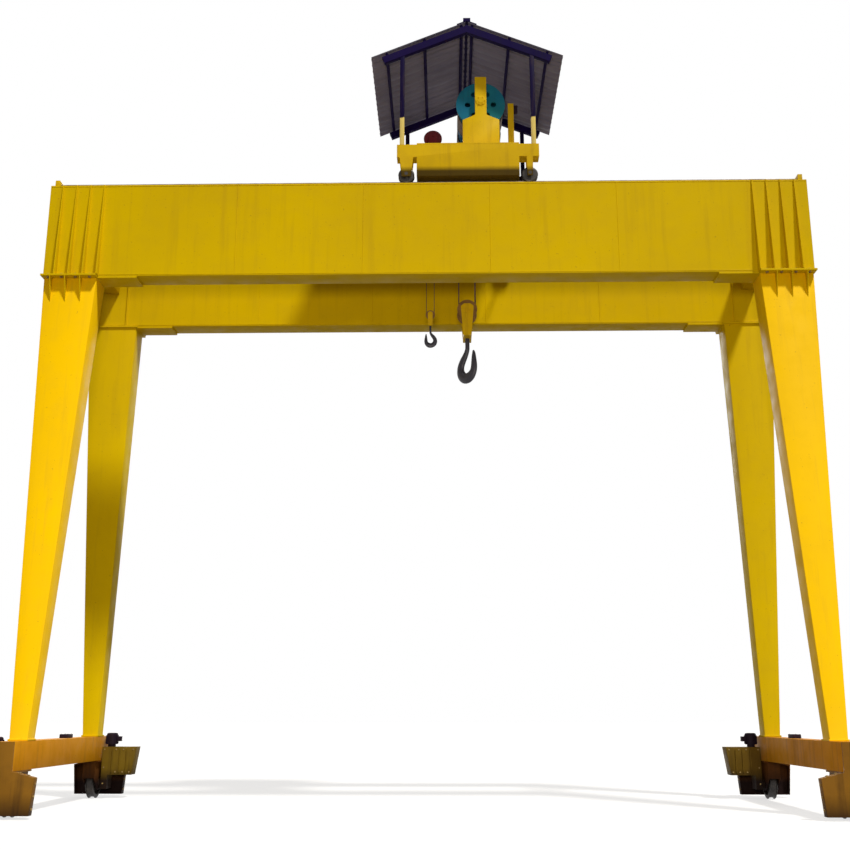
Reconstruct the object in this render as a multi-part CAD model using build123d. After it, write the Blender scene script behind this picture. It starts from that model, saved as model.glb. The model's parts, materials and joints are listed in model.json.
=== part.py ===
"""Gantry crane with two box girders on four tapered legs and a roofed winch trolley.

Millimetres. +X runs along the girders, -Y is the front and +Z is up. The origin lies at
the middle of the crane on the plane that its travel wheels stand on.
"""
import os
from math import cos, radians, sin, tan

from build123d import *

# Girders: two welded boxes side by side
GIRDER_LENGTH = 15000
GIRDER_DEPTH = 1950
GIRDER_WIDTH = 460
GIRDER_GAUGE = 2740
GIRDER_UNDERSIDE = 10000
FLANGE_PLATE = 30
WEB_PLATE = 20
END_PLATE = 16
FIN_PLATE = 18
FIN_PITCH = 276
FIN_TOP_WIDTH = 25
FIN_COUNT = 4
FIN_END_MARGIN = 255
FIN_REACH = 150
INNER_RIB_SPACING = 610
INNER_RIB_MARGIN = 210

# Trolley rails on the girder tops, with their end stops
RAIL_HEIGHT = 120
RAIL_HEAD_WIDTH = 70
RAIL_HEAD_DEPTH = 35
RAIL_WEB = 20
RAIL_FOOT_WIDTH = 130
RAIL_FOOT_DEPTH = 20
RAIL_END_MARGIN = 120
STOP_LENGTH = 90
STOP_WIDTH = 220
STOP_HEIGHT = 180

# End ties that hold the girders apart
TIE_WIDTH = 300
TIE_DEPTH = 620
TIE_DROP = 560
TIE_END_MARGIN = 320
TIE_PLATE = 14

# Legs: tapered box tubes, wide across the girder at the head and wide apart at the foot
LEG_HEAD_WIDTH = 1030
LEG_HEAD_INSET = 27
LEG_HEAD_DEPTH = 500
LEG_FOOT_WIDTH = 310
LEG_FOOT_DEPTH = 350
LEG_FOOT_SPACING = 3750
LEG_PLATE = 14
HEAD_PLATE = 40
HEAD_MARGIN = 25
DOUBLER_LENGTH = 760
FOOT_PLATE = 30
FOOT_PLATE_MARGIN = 20
GUSSET_PLATE = 18
GUSSET_HEIGHT = 500
GUSSET_PITCH = 292
GUSSET_END_MARGIN = 185
GUSSET_COUNT = 3

# Sill beams, wheel trucks and travel drives
RAIL_SPAN = 14000
WHEELBASE = 4300
SILL_TOP = 1240
SILL_DEPTH = 480
SILL_WIDTH = 340
SILL_PLATE = 14
TRUCK_INNER_GAP = 60
TRUCK_OUTER_GAP = 150
TRUCK_CHEEK = 25
TRUCK_CHEEK_BOTTOM = 170
TRUCK_TOP_PLATE = 30
TRUCK_TOP_WIDTH = 360
TRUCK_END_PLATE = 25
TRUCK_END_TOP_WIDTH = 1100
TRUCK_END_LOW_WIDTH = 1000
TRUCK_END_LOW = 60
TRUCK_END_SHOULDER = 100
TRUCK_SKIRT = 130
WHEEL_FLANGE_RADIUS = 300
WHEEL_TREAD_RADIUS = 272
WHEEL_TREAD_WIDTH = 110
WHEEL_FLANGE = 25
WHEEL_WEB = 40
WHEEL_HUB_RADIUS = 105
WHEEL_RIM = 50
WHEEL_SIDE_GAP = 20
AXLE_RADIUS = 55
DRIVE_STANDOFF = 190
DRIVE_WIDTH = 700
DRIVE_THICKNESS = 320
DRIVE_RISE = 270
DRIVE_DROP = 290
DRIVE_LOW_WIDTH = 130
DRIVE_UNDERCUT = 80
DRIVE_BOSS_RADIUS = 110
MOTOR_RADIUS = 115
MOTOR_HEIGHT = 230
MOTOR_NECK_RADIUS = 80
MOTOR_NECK = 50
MOTOR_SETBACK = 140

# Trolley frame
TROLLEY_CENTRE = 830
TROLLEY_WHEELBASE = 2480
DECK_HEIGHT = 810
DECK_PLATE = 30
BEAM_WHEEL_GAP = 48
BEAM_WIDTH = 260
BEAM_CLEARANCE = 80
ARM_OVERHANG = 190
ARM_DEPTH = 280
AXLE_CHEEK = 25
LEFT_CHEEK_WIDTH = 280
LEFT_CHEEK_LOW_WIDTH = 190
RIGHT_CHEEK_WIDTH = 130
RIGHT_CHEEK_LOW_WIDTH = 110
AXLE_CHEEK_BELOW = 60
CROSS_BEAM_WIDTH = 140
CROSS_BEAM_DEPTH = 300
CROSS_BEAM_PLACES = (-430, 470)
TROLLEY_TREAD_RADIUS = 140
TROLLEY_FLANGE_RADIUS = 162
TROLLEY_FLANGE = 22
TROLLEY_AXLE_RADIUS = 35
TROLLEY_DRIVE_Y = 650
TROLLEY_DRIVE_SIZE = 300
TROLLEY_DRIVE_BELOW = 100
TROLLEY_MOTOR_RADIUS = 105
TROLLEY_MOTOR_HEIGHT = 330

# Hood over the winches
HOOD_HEIGHT = 2770
HOOD_HALF_WIDTH = 1970
GABLE_OVERHANG = 25
HOOD_PITCH = 22.6
SHEET_RIB_HEIGHT = 18
SHEET_THICKNESS = 4
SHEET_RIB_PITCH = 200
SHEET_RIB_TOP = 50
SHEET_RIB_SLOPE = 25
SHEET_RIDGE_GAP = 30
PURLIN_WIDTH = 50
PURLIN_DEPTH = 60
PURLIN_PLACES = (130, 960, 1800)
PURLIN_END_MARGIN = 40
RAFTER_WIDTH = 100
RAFTER_DEPTH = 150
RAFTER_LENGTH = 1920
POST_WIDTH = 90
POST_SPACING = 2660
CAP_WING = 210
CAP_PLATE = 8
CAP_RIB_WIDTH = 150
CAP_RIB_HEIGHT = 90

# Main winch
DRUM_OFFSET = 285
DRUM_RISE = 1200
DRUM_PITCH_RADIUS = 470
DRUM_FLANGE_RADIUS = 510
DRUM_FLANGE = 40
DRUM_LENGTH = 1900
DRUM_GROOVE_PITCH = 76
DRUM_GROOVE_DEPTH = 14
DRUM_SHAFT_RADIUS = 60
DRUM_SHELL = 40
DRUM_HOLE_RADIUS = 60
DRUM_HOLE_CIRCLE = 270
DRUM_HOLE_COUNT = 6
STAND_THICKNESS = 100
STAND_GAP = 50
STAND_WIDTH = 760
STAND_SHOULDER = 760
STAND_COLUMN_WIDTH = 240
STAND_ABOVE_SHAFT = 560
GEARBOX_THICKNESS = 260
GEARBOX_LOW_HEIGHT = 600
GEARBOX_ROUND_RADIUS = 330
GEARBOX_INPUT_REACH = 850
WINCH_MOTOR_RADIUS = 210
WINCH_MOTOR_LENGTH = 620
WINCH_MOTOR_OFFSET = -330
WINCH_MOTOR_HEIGHT = 330
BRAKE_RADIUS = 170
BRAKE_LENGTH = 110
LIMIT_POST_OFFSET = 915
LIMIT_POST_WIDTH = 120
LIMIT_POST_DEPTH = 90
LIMIT_POST_SETBACK = 50
LIMIT_POST_HEIGHT = 1230

# Auxiliary winch
AUX_OFFSET = -715
AUX_CENTRE_Y = -350
AUX_RISE = 550
AUX_PITCH_RADIUS = 140
AUX_FLANGE_RADIUS = 190
AUX_FLANGE = 25
AUX_LENGTH = 760
AUX_SHAFT_RADIUS = 30
AUX_STAND = 50
AUX_STAND_GAP = 10
AUX_STAND_WIDTH = 300
AUX_STAND_HEAD = 70
AUX_MOTOR_RADIUS = 140
AUX_MOTOR_LENGTH = 520

# Ropes, hook blocks and hooks
ROPE_RADIUS = 11
ROPE_SPREAD = 170
AUX_ROPE_RADIUS = 7
SLOT_MARGIN = 70
LUG_DEPTH = 150
LUG_WIDTH = 90
BLOCK_DROP = 170
SHEAVE_PITCH_RADIUS = 170
SHEAVE_RIM = 35
SHEAVE_WIDTH = 60
SHEAVE_HUB_RADIUS = 75
CHEEK_PLATE = 20
CHEEK_GAP = 15
CHEEK_WIDTH = 260
CHEEK_ABOVE = 110
CROSSHEAD_DROP = 490
CROSSHEAD_DEPTH = 100
CROSSHEAD_WIDTH = 170
BLOCK_PIN_RADIUS = 40
HOOK_SHANK_RADIUS = 45
HOOK_NUT_RADIUS = 75
HOOK_NUT_HEIGHT = 70
HOOK_SEAT_RADIUS = 125
HOOK_SEAT_DROP = 710
HOOK_TURN = 50
AUX_BLOCK_DROP = 360
AUX_SHEAVE_PITCH_RADIUS = 80
AUX_SHEAVE_RIM = 16
AUX_SHEAVE_WIDTH = 34
AUX_SHEAVE_HUB_RADIUS = 32
AUX_CHEEK_PLATE = 12
AUX_CHEEK_GAP = 24
AUX_CHEEK_WIDTH = 100
AUX_CHEEK_ABOVE = 55
AUX_CROSSHEAD_DROP = 195
AUX_CROSSHEAD_DEPTH = 50
AUX_CROSSHEAD_WIDTH = 90
AUX_PIN_RADIUS = 18
AUX_SHANK_RADIUS = 20
AUX_NUT_RADIUS = 34
AUX_NUT_HEIGHT = 32
AUX_SEAT_RADIUS = 56
AUX_SEAT_DROP = 360

# Clearances between pieces that move on each other
RUNNING_GAP = 0.3
FLANGE_SIDE_GAP = 5

# Places worked out from the sizes above
GIRDER_TOP = GIRDER_UNDERSIDE + GIRDER_DEPTH
GIRDER_OUTER = (GIRDER_GAUGE + GIRDER_WIDTH) / 2
GIRDER_INNER = (GIRDER_GAUGE - GIRDER_WIDTH) / 2
GIRDER_END = GIRDER_LENGTH / 2
RAIL_TOP = GIRDER_TOP + RAIL_HEIGHT
LEG_TOP = GIRDER_UNDERSIDE - HEAD_PLATE
LEG_LOW = SILL_TOP + FOOT_PLATE
LEG_OUTER = GIRDER_OUTER
LEG_HEAD_INNER = LEG_OUTER - LEG_HEAD_DEPTH
LEG_HEAD_OUTER_X = GIRDER_END - LEG_HEAD_INSET
LEG_FOOT_CENTRE = LEG_FOOT_SPACING / 2
SILL_X = RAIL_SPAN / 2
WHEEL_CENTRE = WHEELBASE / 2
SILL_BOTTOM = SILL_TOP - SILL_DEPTH
SILL_END = WHEEL_CENTRE + WHEEL_FLANGE_RADIUS + TRUCK_OUTER_GAP
TRUCK_START = WHEEL_CENTRE - WHEEL_FLANGE_RADIUS - TRUCK_INNER_GAP
DRIVE_TOP = SILL_BOTTOM + DRIVE_RISE
DRIVE_WAIST = SILL_BOTTOM - DRIVE_DROP
DRIVE_LOW = WHEEL_FLANGE_RADIUS - DRIVE_BOSS_RADIUS
TROLLEY_TOP = RAIL_TOP + DECK_HEIGHT
DECK_BOTTOM = TROLLEY_TOP - DECK_PLATE
BEAM_BOTTOM = RAIL_TOP + BEAM_CLEARANCE
BEAM_HALF_LENGTH = TROLLEY_WHEELBASE / 2 - TROLLEY_FLANGE_RADIUS - BEAM_WHEEL_GAP
HOOD_RIDGE = TROLLEY_TOP + HOOD_HEIGHT
DRUM_HEIGHT = TROLLEY_TOP + DRUM_RISE
STAND_TOP = DRUM_HEIGHT + STAND_ABOVE_SHAFT
AUX_HEIGHT = TROLLEY_TOP + AUX_RISE
TROLLEY_AXLE = RAIL_TOP + RUNNING_GAP + TROLLEY_TREAD_RADIUS
RAIL_Y = GIRDER_GAUGE / 2
RAFTER_Y = RAIL_Y + BEAM_WIDTH / 2 - POST_WIDTH / 2
HOOD_LENGTH = 2 * (RAFTER_Y + RAFTER_WIDTH / 2 + GABLE_OVERHANG)
LIMIT_POST_Y = LIMIT_POST_SETBACK - DRUM_LENGTH / 2
WHEEL_HALF_WIDTH = WHEEL_TREAD_WIDTH / 2 + WHEEL_FLANGE
TRUCK_INNER = WHEEL_HALF_WIDTH + WHEEL_SIDE_GAP
TRUCK_OUTER = TRUCK_INNER + TRUCK_CHEEK
MAIN_ROPE_X = DRUM_OFFSET - DRUM_PITCH_RADIUS
BLOCK_X = MAIN_ROPE_X + SHEAVE_PITCH_RADIUS
MAIN_ANCHOR_X = BLOCK_X + SHEAVE_PITCH_RADIUS
AUX_ROPE_X = AUX_OFFSET - AUX_PITCH_RADIUS
AUX_BLOCK_X = AUX_ROPE_X + AUX_SHEAVE_PITCH_RADIUS
AUX_ANCHOR_X = AUX_BLOCK_X + AUX_SHEAVE_PITCH_RADIUS
BLOCK_AXLE = GIRDER_UNDERSIDE - BLOCK_DROP
CROSSHEAD_TOP = BLOCK_AXLE - CROSSHEAD_DROP
HOOK_SEAT_CENTRE = CROSSHEAD_TOP - HOOK_SEAT_DROP
AUX_BLOCK_AXLE = GIRDER_UNDERSIDE - AUX_BLOCK_DROP
AUX_CROSSHEAD_TOP = AUX_BLOCK_AXLE - AUX_CROSSHEAD_DROP
AUX_SEAT_CENTRE = AUX_CROSSHEAD_TOP - AUX_SEAT_DROP

nodes = {}


def block(x0, x1, y0, y1, z0, z1):
    """A box between two corners."""
    size = Box(abs(x1 - x0), abs(y1 - y0), abs(z1 - z0))
    return Pos((x0 + x1) / 2, (y0 + y1) / 2, (z0 + z1) / 2) * size


def plate_xz(points, y0, y1):
    """A plate with an outline in X and Z, from y0 to y1."""
    face = Plane.XZ * make_face(Polyline(*points, close=True))
    return Pos(0, max(y0, y1), 0) * extrude(face, amount=abs(y1 - y0))


def plate_yz(points, x0, x1):
    """A plate with an outline in Y and Z, from x0 to x1."""
    face = Plane.YZ * make_face(Polyline(*points, close=True))
    return Pos(min(x0, x1), 0, 0) * extrude(face, amount=abs(x1 - x0))


def rod_x(radius, x0, x1, y, z):
    """A round bar along X."""
    return Pos((x0 + x1) / 2, y, z) * Rot(0, 90, 0) * Cylinder(radius, abs(x1 - x0))


def rod_y(radius, y0, y1, x, z):
    """A round bar along Y."""
    return Pos(x, (y0 + y1) / 2, z) * Rot(90, 0, 0) * Cylinder(radius, abs(y1 - y0))


def rod_z(radius, z0, z1, x, y):
    """A round bar along Z."""
    return Pos(x, y, (z0 + z1) / 2) * Cylinder(radius, abs(z1 - z0))


def turned(profile):
    """A solid turned about Z from (radius, height) points that start and end on the axis."""
    return revolve(Plane.XZ * make_face(Polyline(*profile, close=True)), Axis.Z)


def keep(name, *pieces):
    """Store one node as its separate solids."""
    nodes[name] = Compound([solid for piece in pieces for solid in piece.solids()])


def mirror_x(solid):
    """The same piece on the other side of the crane's middle."""
    return mirror(solid, about=Plane.YZ)


def mirror_y(solid):
    """The same piece on the other side of the girders' middle line."""
    return mirror(solid, about=Plane.XZ)


def on_trolley(solid):
    """Move a piece drawn about the trolley's middle to where the trolley stands."""
    return Pos(TROLLEY_CENTRE, 0, 0) * solid


def girder_plates():
    """The rear girder's two webs and two flanges."""
    low = GIRDER_UNDERSIDE + FLANGE_PLATE
    high = GIRDER_TOP - FLANGE_PLATE
    webs = []
    for y in (GIRDER_INNER, GIRDER_OUTER - WEB_PLATE):
        webs.append(block(-GIRDER_END, GIRDER_END, y, y + WEB_PLATE, low, high))
    flanges = []
    for z in (GIRDER_UNDERSIDE, high):
        flanges.append(block(-GIRDER_END, GIRDER_END, GIRDER_INNER, GIRDER_OUTER, z, z + FLANGE_PLATE))
    return webs, flanges


def girder_ribs():
    """The rear girder's end plates, tapered outer fins and tapered inner ribs."""
    low = GIRDER_UNDERSIDE + FLANGE_PLATE
    high = GIRDER_TOP - FLANGE_PLATE
    pieces = [block(GIRDER_END - END_PLATE, GIRDER_END, GIRDER_INNER + WEB_PLATE,
                    GIRDER_OUTER - WEB_PLATE, low, high)]
    fin = [(GIRDER_OUTER, GIRDER_UNDERSIDE), (GIRDER_OUTER + FIN_REACH, GIRDER_UNDERSIDE),
           (GIRDER_OUTER + FIN_TOP_WIDTH, GIRDER_TOP), (GIRDER_OUTER, GIRDER_TOP)]
    for i in range(FIN_COUNT):
        x = GIRDER_END - FIN_END_MARGIN - i * FIN_PITCH
        pieces.append(plate_yz(fin, x - FIN_PLATE / 2, x + FIN_PLATE / 2))
    rib = [(GIRDER_INNER, GIRDER_UNDERSIDE), (LEG_HEAD_INNER, GIRDER_UNDERSIDE),
           (GIRDER_INNER - FIN_TOP_WIDTH, GIRDER_TOP), (GIRDER_INNER, GIRDER_TOP)]
    for i in range(2):
        x = GIRDER_END - INNER_RIB_MARGIN - i * INNER_RIB_SPACING
        pieces.append(plate_yz(rib, x - FIN_PLATE / 2, x + FIN_PLATE / 2))
    return pieces + [mirror_x(piece) for piece in pieces]


def trolley_rail():
    """The rear rail: foot, web and head in one rolled section."""
    foot, web, head = RAIL_FOOT_WIDTH / 2, RAIL_WEB / 2, RAIL_HEAD_WIDTH / 2
    low = GIRDER_TOP + RAIL_FOOT_DEPTH
    high = RAIL_TOP - RAIL_HEAD_DEPTH
    right = [(foot, GIRDER_TOP), (foot, low), (web, low), (web, high), (head, high), (head, RAIL_TOP)]
    outline = right + [(-y, z) for y, z in reversed(right)]
    end = GIRDER_END - RAIL_END_MARGIN
    return Pos(0, RAIL_Y, 0) * plate_yz(outline, -end, end)


def rail_stop():
    """The stop at the rear rail's right end, straddling the rail."""
    end = GIRDER_END - RAIL_END_MARGIN
    x0, x1 = end, end + STOP_LENGTH
    half = STOP_WIDTH / 2
    return block(x0, x1, RAIL_Y - half, RAIL_Y + half, GIRDER_TOP, GIRDER_TOP + STOP_HEIGHT)


def end_tie():
    """The hollow beam between the two girders at their right end."""
    x1 = GIRDER_END - TIE_END_MARGIN
    x0 = x1 - TIE_WIDTH
    z1 = GIRDER_TOP - TIE_DROP
    z0 = z1 - TIE_DEPTH
    tube = block(x0, x1, -GIRDER_INNER, GIRDER_INNER, z0, z1)
    hollow = block(x0 + TIE_PLATE, x1 - TIE_PLATE, -GIRDER_INNER, GIRDER_INNER, z0 + TIE_PLATE, z1 - TIE_PLATE)
    return tube - hollow


def leg():
    """The rear right leg: a tapered box tube welded to its foot plate."""
    head_centre = (LEG_HEAD_OUTER_X - LEG_HEAD_WIDTH / 2, LEG_OUTER - LEG_HEAD_DEPTH / 2, LEG_TOP)
    foot_centre = (SILL_X, LEG_FOOT_CENTRE, LEG_LOW)

    def tapered(inset):
        head = Pos(*head_centre) * Rectangle(LEG_HEAD_WIDTH - 2 * inset, LEG_HEAD_DEPTH - 2 * inset)
        foot = Pos(*foot_centre) * Rectangle(LEG_FOOT_WIDTH - 2 * inset, LEG_FOOT_DEPTH - 2 * inset)
        return loft([foot, head], ruled=True)

    half_x = LEG_FOOT_WIDTH / 2 + FOOT_PLATE_MARGIN
    half_y = LEG_FOOT_DEPTH / 2 + FOOT_PLATE_MARGIN
    foot_plate = block(SILL_X - half_x, SILL_X + half_x, LEG_FOOT_CENTRE - half_y,
                       LEG_FOOT_CENTRE + half_y, SILL_TOP, LEG_LOW)
    return tapered(0) - tapered(LEG_PLATE) + foot_plate


def leg_head():
    """The plate on the rear right leg, its doubler along the girder and its outer gussets."""
    inner_x = LEG_HEAD_OUTER_X - LEG_HEAD_WIDTH - HEAD_MARGIN
    pieces = [
        block(inner_x, LEG_HEAD_OUTER_X + HEAD_MARGIN, LEG_HEAD_INNER - HEAD_MARGIN,
              GIRDER_OUTER + FIN_REACH, LEG_TOP, GIRDER_UNDERSIDE),
        block(inner_x - DOUBLER_LENGTH, inner_x, GIRDER_INNER, GIRDER_OUTER, LEG_TOP, GIRDER_UNDERSIDE),
    ]
    splay = (LEG_FOOT_CENTRE + LEG_FOOT_DEPTH / 2 - LEG_OUTER) / (LEG_TOP - LEG_LOW)
    outline = [(LEG_OUTER, LEG_TOP), (GIRDER_OUTER + FIN_REACH, LEG_TOP),
               (LEG_OUTER + splay * GUSSET_HEIGHT, LEG_TOP - GUSSET_HEIGHT)]
    for i in range(GUSSET_COUNT):
        x = GIRDER_END - GUSSET_END_MARGIN - i * GUSSET_PITCH
        pieces.append(plate_yz(outline, x - GUSSET_PLATE / 2, x + GUSSET_PLATE / 2))
    return pieces


def sill_beam():
    """The right sill: a box tube from the front truck to the rear truck."""
    half = SILL_WIDTH / 2
    tube = block(SILL_X - half, SILL_X + half, -SILL_END, SILL_END, SILL_BOTTOM, SILL_TOP)
    inner = half - SILL_PLATE
    return tube - block(SILL_X - inner, SILL_X + inner, -SILL_END, SILL_END,
                        SILL_BOTTOM + SILL_PLATE, SILL_TOP - SILL_PLATE)


def truck():
    """The rear right wheel truck: cheeks, top plate and a skirted end plate round one wheel."""
    y0, y1 = TRUCK_START, SILL_END
    top = SILL_BOTTOM - TRUCK_TOP_PLATE
    shoulder = SILL_BOTTOM - TRUCK_END_SHOULDER
    half = TRUCK_TOP_WIDTH / 2
    body = block(SILL_X - half, SILL_X + half, y0, y1, top, SILL_BOTTOM)
    waist = WHEEL_FLANGE_RADIUS + 2 * AXLE_RADIUS
    toe = 2 * AXLE_RADIUS + TRUCK_CHEEK
    cheek = [(y0, top), (y0, waist), (WHEEL_CENTRE - toe, TRUCK_CHEEK_BOTTOM),
             (WHEEL_CENTRE + toe, TRUCK_CHEEK_BOTTOM), (y1, waist), (y1, top)]
    for side in (-1, 1):
        body += plate_yz(cheek, SILL_X + side * TRUCK_INNER, SILL_X + side * TRUCK_OUTER)
    body += block(SILL_X - TRUCK_INNER, SILL_X + TRUCK_INNER, y0, y0 + TRUCK_CHEEK, waist, top)
    low, wide, sill = TRUCK_END_LOW_WIDTH / 2, TRUCK_END_TOP_WIDTH / 2, SILL_WIDTH / 2
    rim = [(low, TRUCK_END_LOW), (wide, shoulder), (sill, SILL_BOTTOM)]
    inset = TRUCK_END_PLATE
    hollow = [(low - inset, TRUCK_END_LOW + inset), (wide - inset, shoulder - inset), (sill, SILL_BOTTOM - inset)]

    def both_sides(right):
        return [(SILL_X + x, z) for x, z in right] + [(SILL_X - x, z) for x, z in reversed(right)]

    body += plate_xz(both_sides(rim + [(sill, SILL_TOP)]), y1, y1 + TRUCK_END_PLATE)
    skirt = y1 - TRUCK_SKIRT
    body += plate_xz(both_sides(rim), skirt, y1) - plate_xz(both_sides(hollow), skirt, y1)
    reach = TRUCK_OUTER + TRUCK_CHEEK
    bore = rod_x(AXLE_RADIUS + RUNNING_GAP, SILL_X - reach, SILL_X + reach, WHEEL_CENTRE, WHEEL_FLANGE_RADIUS)
    return body - bore


def travel_wheel():
    """The rear right travel wheel, double flanged, with its axle."""
    tread, side = WHEEL_TREAD_WIDTH / 2, WHEEL_HALF_WIDTH
    crown = (tread + side) / 2
    web, rim = WHEEL_WEB / 2, WHEEL_TREAD_RADIUS - WHEEL_RIM
    axle_end = TRUCK_OUTER - FLANGE_SIDE_GAP
    upper = [(0, axle_end), (AXLE_RADIUS, axle_end), (AXLE_RADIUS, side), (WHEEL_HUB_RADIUS, side),
             (WHEEL_HUB_RADIUS, web), (rim, web), (rim, side), (WHEEL_TREAD_RADIUS, side),
             (WHEEL_FLANGE_RADIUS, crown), (WHEEL_TREAD_RADIUS, tread)]
    profile = upper + [(r, -h) for r, h in reversed(upper)]
    return Pos(SILL_X, WHEEL_CENTRE, WHEEL_FLANGE_RADIUS) * Rot(0, 90, 0) * turned(profile)


def travel_gearbox(side):
    """A drive on the rear right truck: the case hangs on the axle, outside (1) or inside (-1)."""
    u0 = DRIVE_STANDOFF
    u1 = u0 + DRIVE_WIDTH
    low = u0 + DRIVE_LOW_WIDTH
    outline = [(u0, DRIVE_LOW), (low, DRIVE_LOW), (low, DRIVE_WAIST), (u1 - DRIVE_UNDERCUT, DRIVE_WAIST),
               (u1, DRIVE_TOP), (u0, DRIVE_TOP)]
    points = [(SILL_X + side * u, z) for u, z in outline]
    half = DRIVE_THICKNESS / 2
    case = plate_xz(points, WHEEL_CENTRE - half, WHEEL_CENTRE + half)
    boss = rod_x(DRIVE_BOSS_RADIUS, SILL_X + side * TRUCK_OUTER, SILL_X + side * u0,
                 WHEEL_CENTRE, WHEEL_FLANGE_RADIUS)
    return case + boss


def motor(radius, height, neck_radius, neck):
    """An upright flange motor standing on Z = 0, with a rounded fan cover."""
    shoulder = neck + height
    body = turned([(0, 0), (neck_radius, 0), (neck_radius, neck), (radius, neck),
                   (radius, shoulder), (0, shoulder)])
    return fillet(body.faces().sort_by(Axis.Z)[-1].edges(), radius / 3)


def travel_motor(side):
    """The motor on a travel gearbox, outside (1) or inside (-1)."""
    x = SILL_X + side * (DRIVE_STANDOFF + MOTOR_SETBACK)
    return Pos(x, WHEEL_CENTRE, DRIVE_TOP) * motor(MOTOR_RADIUS, MOTOR_HEIGHT, MOTOR_NECK_RADIUS, MOTOR_NECK)


def trolley_beam():
    """The trolley's rear side beam: a box between the wheels, with an arm over each wheel."""
    y0, y1 = RAIL_Y - BEAM_WIDTH / 2, RAIL_Y + BEAM_WIDTH / 2
    arm_end = TROLLEY_WHEELBASE / 2 + ARM_OVERHANG
    arm_bottom = DECK_BOTTOM - ARM_DEPTH
    beam = block(-BEAM_HALF_LENGTH, BEAM_HALF_LENGTH, y0, y1, BEAM_BOTTOM, DECK_BOTTOM)
    beam += block(-arm_end, arm_end, y0, y1, arm_bottom, DECK_BOTTOM)
    low = TROLLEY_AXLE - AXLE_CHEEK_BELOW
    left = (-TROLLEY_WHEELBASE / 2, LEFT_CHEEK_WIDTH / 2, LEFT_CHEEK_LOW_WIDTH / 2)
    right = (TROLLEY_WHEELBASE / 2, RIGHT_CHEEK_WIDTH / 2, RIGHT_CHEEK_LOW_WIDTH / 2)
    for x, wide, narrow in (left, right):
        cheek = [(x - wide, arm_bottom), (x - narrow, low), (x + narrow, low), (x + wide, arm_bottom)]
        for y in (y0, y1 - AXLE_CHEEK):
            beam += plate_xz(cheek, y, y + AXLE_CHEEK)
        beam -= rod_y(TROLLEY_AXLE_RADIUS + RUNNING_GAP, y0 - AXLE_CHEEK, y1 + AXLE_CHEEK, x, TROLLEY_AXLE)
    return beam


def trolley_wheelset(end):
    """Two trolley wheels on one cross shaft, at the left (-1) or right (1) end."""
    tread = RAIL_HEAD_WIDTH / 2 + FLANGE_SIDE_GAP
    side = tread + TROLLEY_FLANGE
    crown = (tread + side) / 2
    upper = [(0, side), (TROLLEY_TREAD_RADIUS, side), (TROLLEY_FLANGE_RADIUS, crown),
             (TROLLEY_TREAD_RADIUS, tread)]
    wheel = Rot(90, 0, 0) * turned(upper + [(r, -h) for r, h in reversed(upper)])
    x = end * TROLLEY_WHEELBASE / 2
    shaft_end = RAIL_Y + BEAM_WIDTH / 2
    wheelset = rod_y(TROLLEY_AXLE_RADIUS, -shaft_end, shaft_end, x, TROLLEY_AXLE)
    for y in (-RAIL_Y, RAIL_Y):
        wheelset += Pos(x, y, TROLLEY_AXLE) * wheel
    return wheelset


def rope_lug(x, y):
    """A rope anchor under the deck."""
    half = LUG_WIDTH / 2
    return block(x - half, x + half, y - half, y + half, DECK_BOTTOM - LUG_DEPTH, DECK_BOTTOM)


def rope_slot(x, y0, y1):
    """The opening in the deck where ropes come down from a drum."""
    return block(x - SLOT_MARGIN, x + SLOT_MARGIN, y0 - SLOT_MARGIN, y1 + SLOT_MARGIN,
                 DECK_BOTTOM - DECK_PLATE, TROLLEY_TOP + DECK_PLATE)


def trolley_deck():
    """The deck plate with its drive seat, rope slots and rope anchors."""
    half_y = RAIL_Y + BEAM_WIDTH / 2
    deck = block(-BEAM_HALF_LENGTH, BEAM_HALF_LENGTH, -half_y, half_y, DECK_BOTTOM, TROLLEY_TOP)
    seat = TROLLEY_DRIVE_SIZE / 2
    deck += block(0, TROLLEY_WHEELBASE / 2 + seat, TROLLEY_DRIVE_Y - seat, TROLLEY_DRIVE_Y + seat,
                  DECK_BOTTOM, TROLLEY_TOP)
    deck -= rope_slot(MAIN_ROPE_X, -ROPE_SPREAD, ROPE_SPREAD)
    deck -= rope_slot(AUX_ROPE_X, AUX_CENTRE_Y, AUX_CENTRE_Y)
    for y in (-ROPE_SPREAD, ROPE_SPREAD):
        deck += rope_lug(MAIN_ANCHOR_X, y)
    return deck + rope_lug(AUX_ANCHOR_X, AUX_CENTRE_Y)


def cross_beam(x):
    """A beam under the deck from one side beam to the other."""
    half = CROSS_BEAM_WIDTH / 2
    inner = RAIL_Y - BEAM_WIDTH / 2
    return block(x - half, x + half, -inner, inner, DECK_BOTTOM - CROSS_BEAM_DEPTH, DECK_BOTTOM)


def trolley_drive():
    """The travel gearbox on the right cross shaft and the motor standing over it."""
    x, half = TROLLEY_WHEELBASE / 2, TROLLEY_DRIVE_SIZE / 2
    case = block(x - half, x + half, TROLLEY_DRIVE_Y - half, TROLLEY_DRIVE_Y + half,
                 TROLLEY_AXLE - TROLLEY_DRIVE_BELOW, DECK_BOTTOM)
    case -= rod_y(TROLLEY_AXLE_RADIUS + RUNNING_GAP, TROLLEY_DRIVE_Y - 2 * half, TROLLEY_DRIVE_Y + 2 * half,
                  x, TROLLEY_AXLE)
    upright = motor(TROLLEY_MOTOR_RADIUS, TROLLEY_MOTOR_HEIGHT, MOTOR_NECK_RADIUS, MOTOR_NECK)
    return case, Pos(x, TROLLEY_DRIVE_Y, TROLLEY_TOP) * upright


def on_slope(solid):
    """Lay a piece drawn down +X from the ridge on the hood's right slope."""
    return Pos(0, 0, HOOD_RIDGE) * Rot(0, HOOD_PITCH, 0) * solid


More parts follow.
